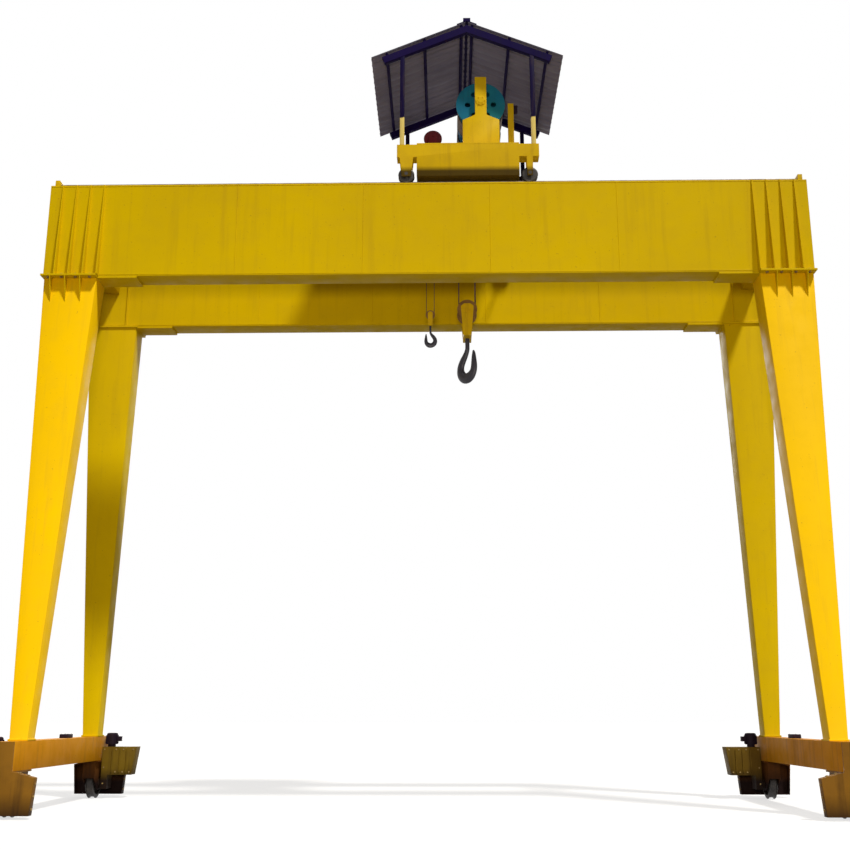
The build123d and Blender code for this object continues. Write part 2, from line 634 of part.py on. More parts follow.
def hood_sheet():
    """The right roof sheet: trapezoid ribs that run down the slope."""
    half = HOOD_LENGTH / 2
    count = round(HOOD_LENGTH / SHEET_RIB_PITCH)
    pitch = HOOD_LENGTH / count
    flat = (pitch - SHEET_RIB_TOP - 2 * SHEET_RIB_SLOPE) / 2
    lower = [(-half, 0)]
    for i in range(count):
        y = -half + i * pitch + flat
        lower += [(y, 0), (y + SHEET_RIB_SLOPE, SHEET_RIB_HEIGHT)]
        y += SHEET_RIB_SLOPE + SHEET_RIB_TOP
        lower += [(y, SHEET_RIB_HEIGHT), (y + SHEET_RIB_SLOPE, 0)]
    lower.append((half, 0))
    outline = lower + [(y, z + SHEET_THICKNESS) for y, z in reversed(lower)]
    eave = HOOD_HALF_WIDTH / cos(radians(HOOD_PITCH))
    return on_slope(plate_yz(outline, SHEET_RIDGE_GAP, eave))


def hood_frame():
    """Two gable rafters and the purlins that the sheets lie on, welded together."""
    half = RAFTER_WIDTH / 2
    purlin_end = HOOD_LENGTH / 2 - PURLIN_END_MARGIN
    slope = None
    for y in (-RAFTER_Y, RAFTER_Y):
        rafter = block(0, RAFTER_LENGTH, y - half, y + half, -PURLIN_DEPTH - RAFTER_DEPTH, -PURLIN_DEPTH)
        slope = rafter if slope is None else slope + rafter
    for s in PURLIN_PLACES:
        slope += block(s - PURLIN_WIDTH / 2, s + PURLIN_WIDTH / 2, -purlin_end, purlin_end, -PURLIN_DEPTH, 0)
    right = on_slope(slope)
    return right + mirror_x(right)


def hood_post(x):
    """A post from the rear side beam's arm up to the rear rafter."""
    def rafter_underside(at):
        pitch = radians(HOOD_PITCH)
        return HOOD_RIDGE - abs(at) * tan(pitch) - (PURLIN_DEPTH + RAFTER_DEPTH) / cos(pitch)

    x0, x1 = x - POST_WIDTH / 2, x + POST_WIDTH / 2
    outer = RAIL_Y + BEAM_WIDTH / 2
    outline = [(x0, DECK_BOTTOM), (x1, DECK_BOTTOM), (x1, rafter_underside(x1)), (x0, rafter_underside(x0))]
    return plate_xz(outline, outer - POST_WIDTH, outer)


def ridge_cap():
    """The bent plate over the gap between the two sheets, with a stiff rib along its crest."""
    pitch = radians(HOOD_PITCH)
    low = SHEET_RIB_HEIGHT + SHEET_THICKNESS
    high = low + CAP_PLATE

    def wing_end(n):
        return CAP_WING * cos(pitch) + n * sin(pitch), HOOD_RIDGE - CAP_WING * sin(pitch) + n * cos(pitch)

    right = [(0, HOOD_RIDGE + low / cos(pitch)), wing_end(low), wing_end(high),
             (0, HOOD_RIDGE + high / cos(pitch))]
    left = [(-x, z) for x, z in reversed(right[1:3])]
    wings = plate_xz(right + left, -HOOD_LENGTH / 2, HOOD_LENGTH / 2)
    half = CAP_RIB_WIDTH / 2
    crest = HOOD_RIDGE + (low + CAP_PLATE / 2) / cos(pitch)
    foot = crest - half * tan(pitch)
    rib = [(-half, foot), (0, crest), (half, foot), (half, foot + CAP_RIB_HEIGHT), (-half, foot + CAP_RIB_HEIGHT)]
    return wings + plate_xz(rib, -HOOD_LENGTH / 2, HOOD_LENGTH / 2)


def main_drum():
    """The rope drum: grooved hollow barrel, two pierced end discs and stub shafts, about Y."""
    half = DRUM_LENGTH / 2
    inner = half - DRUM_FLANGE
    barrel = DRUM_PITCH_RADIUS - ROPE_RADIUS - RUNNING_GAP
    shaft_end = half + STAND_GAP + STAND_THICKNESS - FLANGE_SIDE_GAP
    count = round(2 * inner / DRUM_GROOVE_PITCH)
    pitch = 2 * inner / count
    grooves = []
    for i in range(count):
        h = inner - i * pitch
        grooves += [(barrel, h), (barrel - DRUM_GROOVE_DEPTH, h - pitch / 2)]
    grooves.append((barrel, -inner))
    end = [(0, shaft_end), (DRUM_SHAFT_RADIUS, shaft_end), (DRUM_SHAFT_RADIUS, half),
           (DRUM_FLANGE_RADIUS, half), (DRUM_FLANGE_RADIUS, inner)]
    drum = turned(end + grooves + [(r, -h) for r, h in reversed(end)])
    drum -= Cylinder(barrel - DRUM_GROOVE_DEPTH - DRUM_SHELL, 2 * inner)
    for place in PolarLocations(DRUM_HOLE_CIRCLE, DRUM_HOLE_COUNT):
        drum -= place * Cylinder(DRUM_HOLE_RADIUS, 2 * DRUM_LENGTH)
    return Pos(DRUM_OFFSET, 0, DRUM_HEIGHT) * Rot(90, 0, 0) * drum


def drum_stand():
    """The rear bearing stand of the main drum: a wide foot and a column past the shaft."""
    foot, column = STAND_WIDTH / 2, STAND_COLUMN_WIDTH / 2
    shoulder = TROLLEY_TOP + STAND_SHOULDER
    right = [(foot, TROLLEY_TOP), (foot, shoulder), (column, shoulder + column), (column, STAND_TOP)]
    outline = [(DRUM_OFFSET + x, z) for x, z in right] + [(DRUM_OFFSET - x, z) for x, z in reversed(right)]
    y0 = DRUM_LENGTH / 2 + STAND_GAP
    y1 = y0 + STAND_THICKNESS
    bore = rod_y(DRUM_SHAFT_RADIUS + RUNNING_GAP, y0 - STAND_GAP, y1 + STAND_GAP, DRUM_OFFSET, DRUM_HEIGHT)
    return plate_xz(outline, y0, y1) - bore


def hoist_gearbox():
    """The main hoist's gear case behind the rear stand: input stage and tower, round over the shaft."""
    y0 = DRUM_LENGTH / 2 + STAND_GAP + STAND_THICKNESS
    y1 = y0 + GEARBOX_THICKNESS
    left, right = DRUM_OFFSET - GEARBOX_ROUND_RADIUS, DRUM_OFFSET + GEARBOX_ROUND_RADIUS
    stage = block(DRUM_OFFSET - GEARBOX_INPUT_REACH, left, y0, y1,
                  TROLLEY_TOP, TROLLEY_TOP + GEARBOX_LOW_HEIGHT)
    tower = block(left, right, y0, y1, TROLLEY_TOP, DRUM_HEIGHT)
    return stage, tower + rod_y(GEARBOX_ROUND_RADIUS, y0, y1, DRUM_OFFSET, DRUM_HEIGHT)


def hoist_motor():
    """The main hoist's foot-mounted motor, with its brake wheel against the gear case."""
    z = TROLLEY_TOP + WINCH_MOTOR_HEIGHT
    y2 = DRUM_LENGTH / 2 + STAND_GAP + STAND_THICKNESS
    y1 = y2 - BRAKE_LENGTH
    y0 = y1 - WINCH_MOTOR_LENGTH
    body = rod_y(WINCH_MOTOR_RADIUS, y0, y1, WINCH_MOTOR_OFFSET, z)
    body = fillet(body.faces().sort_by(Axis.Y)[0].edges(), WINCH_MOTOR_RADIUS / 3)
    body += rod_y(BRAKE_RADIUS, y1, y2, WINCH_MOTOR_OFFSET, z)
    half = WINCH_MOTOR_RADIUS - BRAKE_LENGTH / 2
    inset = WINCH_MOTOR_LENGTH / 6
    return body + block(WINCH_MOTOR_OFFSET - half, WINCH_MOTOR_OFFSET + half,
                        y0 + inset, y1 - inset, TROLLEY_TOP, z)


def limit_post():
    """The upright beside the drum that carries the hoist's limit switch."""
    half_x, half_y = LIMIT_POST_WIDTH / 2, LIMIT_POST_DEPTH / 2
    return block(LIMIT_POST_OFFSET - half_x, LIMIT_POST_OFFSET + half_x,
                 LIMIT_POST_Y - half_y, LIMIT_POST_Y + half_y,
                 TROLLEY_TOP, TROLLEY_TOP + LIMIT_POST_HEIGHT)


def aux_drum():
    """The small rope drum of the auxiliary hoist, turned about Y."""
    half = AUX_LENGTH / 2
    inner = half - AUX_FLANGE
    barrel = AUX_PITCH_RADIUS - AUX_ROPE_RADIUS - RUNNING_GAP
    shaft_end = half + AUX_STAND_GAP + AUX_STAND - FLANGE_SIDE_GAP
    end = [(0, shaft_end), (AUX_SHAFT_RADIUS, shaft_end), (AUX_SHAFT_RADIUS, half),
           (AUX_FLANGE_RADIUS, half), (AUX_FLANGE_RADIUS, inner), (barrel, inner)]
    profile = end + [(r, -h) for r, h in reversed(end)]
    return Pos(AUX_OFFSET, AUX_CENTRE_Y, AUX_HEIGHT) * Rot(90, 0, 0) * turned(profile)


def aux_stands():
    """The auxiliary drum's front stand, and its rear stand with the motor bolted to it."""
    foot, head = AUX_STAND_WIDTH / 2, AUX_STAND_HEAD
    outline = [(AUX_OFFSET - foot, TROLLEY_TOP), (AUX_OFFSET + foot, TROLLEY_TOP),
               (AUX_OFFSET + head, AUX_HEIGHT + head), (AUX_OFFSET - head, AUX_HEIGHT + head)]
    y0 = AUX_LENGTH / 2 + AUX_STAND_GAP
    y1 = y0 + AUX_STAND
    bore = rod_y(AUX_SHAFT_RADIUS + RUNNING_GAP, -2 * y1, y1 - RUNNING_GAP, AUX_OFFSET, AUX_HEIGHT)
    front = plate_xz(outline, -y1, -y0) - bore
    rear = plate_xz(outline, y0, y1) - bore
    barrel = rod_y(AUX_MOTOR_RADIUS, y1, y1 + AUX_MOTOR_LENGTH, AUX_OFFSET, AUX_HEIGHT)
    barrel = fillet(barrel.faces().sort_by(Axis.Y)[-1].edges(), AUX_MOTOR_RADIUS / 3)
    half = AUX_MOTOR_RADIUS - AUX_STAND / 2
    rear += barrel
    rear += block(AUX_OFFSET - half, AUX_OFFSET + half, y1 + AUX_STAND, y1 + AUX_MOTOR_LENGTH - 2 * AUX_STAND,
                  TROLLEY_TOP, AUX_HEIGHT)
    return Pos(0, AUX_CENTRE_Y, 0) * front, Pos(0, AUX_CENTRE_Y, 0) * rear


def sheave(pitch_radius, rope_radius, rim, width, hub_radius, pin_radius):
    """A grooved rope sheave about Y, bored for its pin."""
    bottom = pitch_radius - rope_radius - RUNNING_GAP
    outer = pitch_radius + rim
    lip, floor = width / 2, rope_radius + 3 * RUNNING_GAP
    crest = (lip + floor) / 2
    bore = pin_radius + RUNNING_GAP
    upper = [(bore, lip), (hub_radius, lip), (hub_radius, crest), (pitch_radius - rim, crest),
             (outer, crest + RUNNING_GAP), (outer, crest), (bottom, floor)]
    return Rot(90, 0, 0) * turned(upper + [(r, -h) for r, h in reversed(upper)])


def rope_bight(pitch_radius, rope_radius):
    """The half turn of rope under a sheave, in the plane of the sheave."""
    section = Pos(pitch_radius, 0, 0) * Circle(rope_radius)
    return revolve(section, Axis.Y, revolution_arc=180)


def hook(seat_radius, seat_centre, shank_radius, shank_top):
    """A forged hook in the XZ plane, open to +X, with its shank on the Z axis.

    Its section swells from the neck to the seat and thins to the nose.
    """
    r = seat_radius

    def section(x, z, tangent, depth, thickness):
        along = Vector(cos(radians(tangent)), 0, sin(radians(tangent)))
        across = Vector(sin(radians(tangent)), 0, -cos(radians(tangent)))
        plane = Plane(origin=(x, 0, seat_centre + z), x_dir=across, z_dir=along)
        return plane * Ellipse(depth / 2, thickness / 2)

    def bowl(angle, depth, thickness):
        reach = r + depth * r / 2
        x, z = reach * cos(radians(angle)), reach * sin(radians(angle))
        return section(x, z, angle + 90, depth * r, thickness * r)

    neck = 3.2 * r
    sections = [
        section(0, neck, 270, 2 * shank_radius, 2 * shank_radius),
        section(-0.35 * r, 2.35 * r, 240, 0.95 * r, 0.75 * r),
        bowl(150, 1.35, 0.85),
        bowl(195, 1.55, 0.95),
        bowl(235, 1.75, 1.0),
        bowl(270, 1.8, 1.0),
        bowl(310, 1.6, 0.95),
        bowl(350, 1.25, 0.85),
        section(1.6 * r, 0.9 * r, 90, 0.95 * r, 0.75 * r),
        section(1.58 * r, 1.8 * r, 94, 0.65 * r, 0.6 * r),
        section(1.5 * r, 2.5 * r, 98, 0.25 * r, 0.3 * r),
    ]
    return loft(sections) + rod_z(shank_radius, seat_centre + neck, shank_top, 0, 0)


def hook_nut(radius, height, seat):
    """The hexagon nut that carries the shank on top of the crosshead."""
    return Pos(0, 0, seat + RUNNING_GAP) * extrude(RegularPolygon(radius, 6), amount=height)


def hook_block(axle, pin_radius, cheek_inner, cheek_plate, cheek_width, cheek_above,
               head_top, head_depth, head_width, shank_radius):
    """Two cheek plates, the sheave pin and the crosshead that the hook turns in."""
    outer = cheek_inner + cheek_plate
    half, low = cheek_width / 2, head_width / 2
    bottom = head_top - head_depth
    outline = [(-low, bottom), (low, bottom), (half, axle), (half, axle + cheek_above / 2),
               (half / 2, axle + cheek_above), (-half / 2, axle + cheek_above), (-half, axle + cheek_above / 2),
               (-half, axle)]
    body = rod_y(pin_radius, -outer - cheek_plate, outer + cheek_plate, 0, axle)
    for side in (-1, 1):
        body += plate_xz(outline, side * cheek_inner, side * outer)
    body += block(-low, low, -outer, outer, bottom, head_top)
    return body - rod_z(shank_radius + RUNNING_GAP, bottom - head_depth, head_top + head_depth, 0, 0)


def build_portal():
    """Girders, rails, ties, legs, sills, trucks and drives."""
    webs, flanges = girder_plates()
    ribs = girder_ribs()
    for name, place in (("rear", lambda piece: piece), ("front", mirror_y)):
        keep(f"{name}_girder_webs", *[place(piece) for piece in webs])
        keep(f"{name}_girder_flanges", *[place(piece) for piece in flanges])
        keep(f"{name}_girder_ribs", *[place(piece) for piece in ribs])
    rail, stop, tie = trolley_rail(), rail_stop(), end_tie()
    keep("trolley_rails", rail, mirror_y(rail))
    keep("rail_stops", stop, mirror_x(stop), mirror_y(stop), mirror_x(mirror_y(stop)))
    keep("end_ties", tie, mirror_x(tie))
    corners = {
        "rear_right": lambda piece: piece,
        "rear_left": mirror_x,
        "front_right": mirror_y,
        "front_left": lambda piece: mirror_x(mirror_y(piece)),
    }
    heads, gearboxes, motors = [], [], []
    for corner, place in corners.items():
        drive_side = 1 if corner.startswith("front") else -1
        keep(f"{corner}_leg", place(leg()))
        keep(f"{corner}_truck", place(truck()))
        keep(f"{corner}_wheel", place(travel_wheel()))
        heads += [place(piece) for piece in leg_head()]
        gearboxes.append(place(travel_gearbox(drive_side)))
        motors.append(place(travel_motor(drive_side)))
    keep("leg_heads", *heads)
    keep("travel_gearboxes", *gearboxes)
    keep("travel_motors", *motors)
    keep("right_sill_beam", sill_beam())
    keep("left_sill_beam", mirror_x(sill_beam()))


def build_trolley():
    """The trolley's frame, hood and winches."""
    beam = trolley_beam()
    keep("trolley_rear_beam", on_trolley(beam))
    keep("trolley_front_beam", on_trolley(mirror_y(beam)))
    keep("trolley_deck", on_trolley(trolley_deck()))
    keep("trolley_cross_beams", *[on_trolley(cross_beam(x)) for x in CROSS_BEAM_PLACES])
    keep("trolley_drive", *[on_trolley(piece) for piece in trolley_drive()])
    keep("left_wheelset", on_trolley(trolley_wheelset(-1)))
    keep("right_wheelset", on_trolley(trolley_wheelset(1)))
    posts = [hood_post(x) for x in (-POST_SPACING / 2, POST_SPACING / 2)]
    keep("hood_posts", *[on_trolley(piece) for piece in posts + [mirror_y(post) for post in posts]])
    keep("hood_frame", on_trolley(hood_frame()))
    keep("hood_right_sheet", on_trolley(hood_sheet()))
    keep("hood_left_sheet", on_trolley(mirror_x(hood_sheet())))
    keep("hood_ridge_cap", on_trolley(ridge_cap()))
    keep("main_drum", on_trolley(main_drum()))
    keep("drum_stands", on_trolley(drum_stand()), on_trolley(mirror_y(drum_stand())))
    keep("hoist_gearbox", *[on_trolley(piece) for piece in hoist_gearbox()])
    keep("limit_post", on_trolley(limit_post()))
    keep("hoist_motor", on_trolley(hoist_motor()))
    keep("aux_drum", on_trolley(aux_drum()))
    keep("aux_stands", *[on_trolley(piece) for piece in aux_stands()])


def build_main_hoist():
    """The main ropes, their block and the main hook."""
    lug = DECK_BOTTOM - LUG_DEPTH
    falls = []
    for y in (-ROPE_SPREAD, ROPE_SPREAD):
        falls.append(rod_z(ROPE_RADIUS, BLOCK_AXLE, DRUM_HEIGHT, MAIN_ROPE_X, y))
        falls.append(rod_z(ROPE_RADIUS, BLOCK_AXLE, lug, MAIN_ANCHOR_X, y))
    keep("main_ropes", *[on_trolley(fall) for fall in falls])
    cheek_inner = ROPE_SPREAD + SHEAVE_WIDTH / 2 + CHEEK_GAP
    body = hook_block(BLOCK_AXLE, BLOCK_PIN_RADIUS, cheek_inner, CHEEK_PLATE, CHEEK_WIDTH, CHEEK_ABOVE,
                      CROSSHEAD_TOP, CROSSHEAD_DEPTH, CROSSHEAD_WIDTH, HOOK_SHANK_RADIUS)
    keep("main_block", on_trolley(Pos(BLOCK_X, 0, 0) * body))
    wheel = sheave(SHEAVE_PITCH_RADIUS, ROPE_RADIUS, SHEAVE_RIM, SHEAVE_WIDTH, SHEAVE_HUB_RADIUS,
                   BLOCK_PIN_RADIUS)
    bight = rope_bight(SHEAVE_PITCH_RADIUS, ROPE_RADIUS)
    pieces = []
    for y in (-ROPE_SPREAD, ROPE_SPREAD):
        pieces += [Pos(BLOCK_X, y, BLOCK_AXLE) * wheel, Pos(BLOCK_X, y, BLOCK_AXLE) * bight]
    keep("main_sheaves", *[on_trolley(piece) for piece in pieces])
    forged = hook(HOOK_SEAT_RADIUS, HOOK_SEAT_CENTRE, HOOK_SHANK_RADIUS, CROSSHEAD_TOP + HOOK_NUT_HEIGHT)
    forged += hook_nut(HOOK_NUT_RADIUS, HOOK_NUT_HEIGHT, CROSSHEAD_TOP)
    keep("main_hook", on_trolley(Pos(BLOCK_X, 0, 0) * Rot(0, 0, -HOOK_TURN) * forged))


def build_aux_hoist():
    """The auxiliary ropes, their block and the small hook."""
    place = Pos(AUX_BLOCK_X, AUX_CENTRE_Y, 0)
    lug = DECK_BOTTOM - LUG_DEPTH
    keep("aux_ropes",
         on_trolley(rod_z(AUX_ROPE_RADIUS, AUX_BLOCK_AXLE, AUX_HEIGHT, AUX_ROPE_X, AUX_CENTRE_Y)),
         on_trolley(rod_z(AUX_ROPE_RADIUS, AUX_BLOCK_AXLE, lug, AUX_ANCHOR_X, AUX_CENTRE_Y)))
    cheek_inner = AUX_SHEAVE_WIDTH / 2 + AUX_CHEEK_GAP
    body = hook_block(AUX_BLOCK_AXLE, AUX_PIN_RADIUS, cheek_inner, AUX_CHEEK_PLATE, AUX_CHEEK_WIDTH,
                      AUX_CHEEK_ABOVE, AUX_CROSSHEAD_TOP, AUX_CROSSHEAD_DEPTH, AUX_CROSSHEAD_WIDTH,
                      AUX_SHANK_RADIUS)
    keep("aux_block", on_trolley(place * body))
    wheel = sheave(AUX_SHEAVE_PITCH_RADIUS, AUX_ROPE_RADIUS, AUX_SHEAVE_RIM, AUX_SHEAVE_WIDTH,
                   AUX_SHEAVE_HUB_RADIUS, AUX_PIN_RADIUS)
    bight = rope_bight(AUX_SHEAVE_PITCH_RADIUS, AUX_ROPE_RADIUS)
    raised = place * Pos(0, 0, AUX_BLOCK_AXLE)
    keep("aux_sheave", on_trolley(raised * wheel), on_trolley(raised * bight))
    forged = hook(AUX_SEAT_RADIUS, AUX_SEAT_CENTRE, AUX_SHANK_RADIUS, AUX_CROSSHEAD_TOP + AUX_NUT_HEIGHT)
    forged += hook_nut(AUX_NUT_RADIUS, AUX_NUT_HEIGHT, AUX_CROSSHEAD_TOP)
    keep("aux_hook", on_trolley(place * Rot(0, 0, 180) * forged))


build_portal()
build_trolley()
build_main_hoist()
build_aux_hoist()
os.makedirs("parts", exist_ok=True)
for node_name, shape in nodes.items():
    export_step(shape, f"parts/{node_name}.step")
print(len(nodes), "nodes written")
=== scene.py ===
# %% [markdown]
# # A gantry crane in the studio
#
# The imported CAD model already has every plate, wheel and shaft in its true place. This lesson
# puts a camera and light round it, gives each finish its own node material, rounds the edges
# that a welder would have ground, and adds the small hardware that a draughtsman leaves out.
# Everything is in metres, in the frame of the CAD: +X along the girders, -Y to the front, +Z up.

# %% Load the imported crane
import json
from math import cos, pi, radians, sin

import bmesh
import bpy
from mathutils import Matrix, Vector

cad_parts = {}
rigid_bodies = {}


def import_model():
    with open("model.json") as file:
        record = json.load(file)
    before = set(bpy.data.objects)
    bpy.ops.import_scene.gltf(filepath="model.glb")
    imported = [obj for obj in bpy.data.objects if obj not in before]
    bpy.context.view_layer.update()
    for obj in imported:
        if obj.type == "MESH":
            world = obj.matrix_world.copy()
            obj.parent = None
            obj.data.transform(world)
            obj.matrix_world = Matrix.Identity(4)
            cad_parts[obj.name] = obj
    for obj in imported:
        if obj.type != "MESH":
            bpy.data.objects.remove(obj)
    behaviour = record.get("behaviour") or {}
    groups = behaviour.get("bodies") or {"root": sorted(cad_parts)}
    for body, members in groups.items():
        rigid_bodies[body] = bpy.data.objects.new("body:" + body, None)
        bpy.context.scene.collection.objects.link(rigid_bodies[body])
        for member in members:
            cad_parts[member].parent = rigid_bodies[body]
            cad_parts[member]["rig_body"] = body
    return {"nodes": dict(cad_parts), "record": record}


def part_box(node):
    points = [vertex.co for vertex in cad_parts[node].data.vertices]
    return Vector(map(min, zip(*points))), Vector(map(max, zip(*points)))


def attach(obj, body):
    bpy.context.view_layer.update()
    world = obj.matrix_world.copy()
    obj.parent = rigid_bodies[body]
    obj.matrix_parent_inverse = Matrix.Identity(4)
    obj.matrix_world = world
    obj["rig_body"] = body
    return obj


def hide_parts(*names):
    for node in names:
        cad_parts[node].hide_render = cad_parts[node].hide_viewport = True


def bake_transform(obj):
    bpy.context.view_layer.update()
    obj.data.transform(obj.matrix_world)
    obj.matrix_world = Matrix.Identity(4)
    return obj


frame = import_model()
scene = bpy.context.scene
scene.view_settings.view_transform = "Standard"
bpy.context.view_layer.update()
slot_of = {part["node"]: part["material_slot"] for part in frame["record"]["subparts"]}

# %% [markdown]
# ## Camera
#
# The picture was taken by someone standing about 21 m away, with the lens tipped up by about
# 14 degrees so that the hood comes into the frame. A tipped camera makes the legs lean, so the
# tilt is kept and only a small lens shift sets the framing.

# %% Camera
viewer_distance, eye_height = 20.627, 1.66
sidestep, lens_tilt = radians(1.0), radians(103.69)
lens = bpy.data.cameras.new("yard_camera")
lens.sensor_width = 36
lens.lens = 44.61
lens.shift_x = -0.0035
lens.shift_y = 0.0401
lens.clip_end = 600
camera = bpy.data.objects.new("yard_camera", lens)
camera.location = (viewer_distance * sin(sidestep), -viewer_distance * cos(sidestep), eye_height)
camera.rotation_euler = (lens_tilt, 0, sidestep)
scene.collection.objects.link(camera)
scene.camera = camera
print("camera", lens.lens, "mm lens, eye at", eye_height, "m")

# %% [markdown]
# ## Light
#
# A key from the upper front right throws the hood's shadow on the rear girder. A soft box at the
# viewer reaches the rear legs under the front girder, a faint lamp lifts the back, and a dim even
# world fills the rest. The world shows white to the camera and in reflections, but gives the crane
# only its dim share, so the undersides keep their depth.


# %% A helper that adds one shader node
def node(tree, kind, **settings):
    """Add a node, setting its options and its unlinked inputs by name."""
    made = tree.nodes.new(kind)
    for key, value in settings.items():
        if key in made.inputs:
            made.inputs[key].default_value = value
        else:
            setattr(made, key, value)
    return made


def seen_directly(tree):
    """A factor of 1 for rays from the camera, in a reflection or through glass."""
    paths = node(tree, "ShaderNodeLightPath")
    either = node(tree, "ShaderNodeMath", operation="MAXIMUM")
    every = node(tree, "ShaderNodeMath", operation="MAXIMUM")
    tree.links.new(paths.outputs["Is Camera Ray"], either.inputs[0])
    tree.links.new(paths.outputs["Is Glossy Ray"], either.inputs[1])
    tree.links.new(either.outputs[0], every.inputs[0])
    tree.links.new(paths.outputs["Is Transmission Ray"], every.inputs[1])
    return every.outputs[0]


# %% World
studio = bpy.data.worlds.new("studio")
scene.world = studio
studio.use_nodes = True
sky = studio.node_tree
sky.nodes.clear()
fill = node(sky, "ShaderNodeBackground", Color=(1.0, 0.9, 0.8, 1), Strength=0.2)
backdrop = node(sky, "ShaderNodeBackground", Color=(1, 1, 1, 1), Strength=1.0)
chooser = node(sky, "ShaderNodeMixShader")
sky_out = node(sky, "ShaderNodeOutputWorld")
sky.links.new(seen_directly(sky), chooser.inputs[0])
sky.links.new(fill.outputs[0], chooser.inputs[1])
sky.links.new(backdrop.outputs[0], chooser.inputs[2])
sky.links.new(chooser.outputs[0], sky_out.inputs[0])
print("world fill", fill.inputs["Strength"].default_value)

# %% Lamps
portal_middle = Vector((0, 0, 6))
sun_distance, soft_box_distance = 25, 21


def lamp(name, kind, energy, direction, distance, **settings):
    """A lamp that shines along a direction at the middle of the portal."""
    made = bpy.data.lights.new(name, kind)
    made.energy = energy
    for setting, value in settings.items():
        setattr(made, setting, value)
    holder = bpy.data.objects.new(name, made)
    holder.location = portal_middle - Vector(direction).normalized() * distance
    holder.rotation_euler = Vector(direction).to_track_quat("-Z", "Y").to_euler()
    scene.collection.objects.link(holder)
    print(name, energy)


lamp("key", "SUN", 3.2, (-0.34, 0.4, -0.86), sun_distance, angle=radians(5), color=(1.0, 0.97, 0.9))
lamp("back", "SUN", 0.9, (0.1, -0.85, -0.5), sun_distance, angle=radians(30))
lamp("front", "AREA", 1550, (0, 1, 0.12), soft_box_distance, size=2.5, color=(1.0, 0.85, 0.66))

# %% [markdown]
# ## Floor
#
# A wide disc catches the shadow. To the camera it is mostly a white glow with a little shading
# left in it, so the background stays white and the shadow stays visible; for bounced light it is
# a plain dark floor that doesn't flood the undersides.

# %% Floor finish
floor_finish = bpy.data.materials.new("studio_floor")
floor_finish.use_nodes = True
ground = floor_finish.node_tree
ground.nodes.clear()
matt = node(ground, "ShaderNodeBsdfDiffuse", Color=(0.13, 0.12, 0.11, 1))
shade = node(ground, "ShaderNodeBsdfDiffuse", Color=(0.34, 0.34, 0.34, 1))
glow = node(ground, "ShaderNodeEmission", Color=(1, 1, 1, 1), Strength=0.68)
white = node(ground, "ShaderNodeAddShader")
pick = node(ground, "ShaderNodeMixShader")
ground_out = node(ground, "ShaderNodeOutputMaterial")
ground.links.new(shade.outputs[0], white.inputs[0])
ground.links.new(glow.outputs[0], white.inputs[1])
ground.links.new(seen_directly(ground), pick.inputs[0])
ground.links.new(matt.outputs[0], pick.inputs[1])
ground.links.new(white.outputs[0], pick.inputs[2])
ground.links.new(pick.outputs[0], ground_out.inputs[0])
print("floor finish", len(ground.nodes), "nodes")

# %% Floor disc
floor_radius = 220
bm = bmesh.new()
bmesh.ops.create_circle(bm, cap_ends=True, segments=128, radius=floor_radius)
floor_mesh = bpy.data.meshes.new("studio_floor")
bm.to_mesh(floor_mesh)
bm.free()
floor_mesh.materials.append(floor_finish)
floor = bpy.data.objects.new("studio_floor", floor_mesh)
scene.collection.objects.link(floor)
print("floor", len(floor_mesh.vertices), "corners")

# %% [markdown]
# ## Paint
#
# Yard cranes are sprayed on site. The coat fades in broad clouds, rain draws thin streaks of
# dirt down every upright plate, chips show rust, and dust settles near the ground. Each of these
# is one pattern on Object coordinates, so the marks stay on the steel from every side.


# %% Pattern helpers
def noise(tree, place, scale, detail):
    """A noise pattern with about `scale` patches to the metre."""
    made = node(tree, "ShaderNodeTexNoise", Scale=scale, Detail=detail, Roughness=0.55)
    tree.links.new(place, made.inputs["Vector"])
    return made.outputs["Fac"]


def stretched(tree, place, scale):
    """The same coordinates with each axis scaled by itself."""
    made = node(tree, "ShaderNodeMapping", Scale=scale)
    tree.links.new(place, made.inputs["Vector"])
    return made.outputs["Vector"]


def window(tree, value, low, high, start, end):
    """Turn the part of a pattern between low and high into start to end."""
    made = node(tree, "ShaderNodeMapRange")
    for name, number in (("From Min", low), ("From Max", high), ("To Min", start), ("To Max", end)):
        made.inputs[name].default_value = number
    tree.links.new(value, made.inputs["Value"])
    return made.outputs["Result"]


def tint(tree, factor, base, over):
    """Mix a colour over a base; each is a socket or an (r, g, b)."""
    made = node(tree, "ShaderNodeMix", data_type="RGBA")
    tree.links.new(factor, made.inputs[0])
    for place, colour in ((6, base), (7, over)):
        if isinstance(colour, tuple):
            made.inputs[place].default_value = (*colour, 1)
        else:
            tree.links.new(colour, made.inputs[place])
    return made.outputs[2]


# %% Material helpers
def new_finish(name):
    """A node material with its shader and its Object coordinates."""
    finish = bpy.data.materials.new(name)
    finish.use_nodes = True
    tree = finish.node_tree
    place = node(tree, "ShaderNodeTexCoord").outputs["Object"]
    return finish, tree, tree.nodes["Principled BSDF"], place


def height_of(tree, place):
    """The height over the ground at each point."""
    made = node(tree, "ShaderNodeSeparateXYZ")
    tree.links.new(place, made.inputs[0])
    return made.outputs["Z"]


def bump(tree, shader, height, distance):
    """Let a pattern raise the surface by up to `distance` metres."""
    made = node(tree, "ShaderNodeBump", Strength=0.6, Distance=distance)
    tree.links.new(height, made.inputs["Height"])
    tree.links.new(made.outputs["Normal"], shader.inputs["Normal"])


# %% Painted steel
# The grease colour paints a band that is darker towards the bottom of a part: partly grease, partly painted
# shade.
rust, yard_dust, grease_and_painted_shade = (0.16, 0.055, 0.02), (0.3, 0.235, 0.15), (0.012, 0.007, 0.008)
dust_low, dust_high = 0.05, 1.9


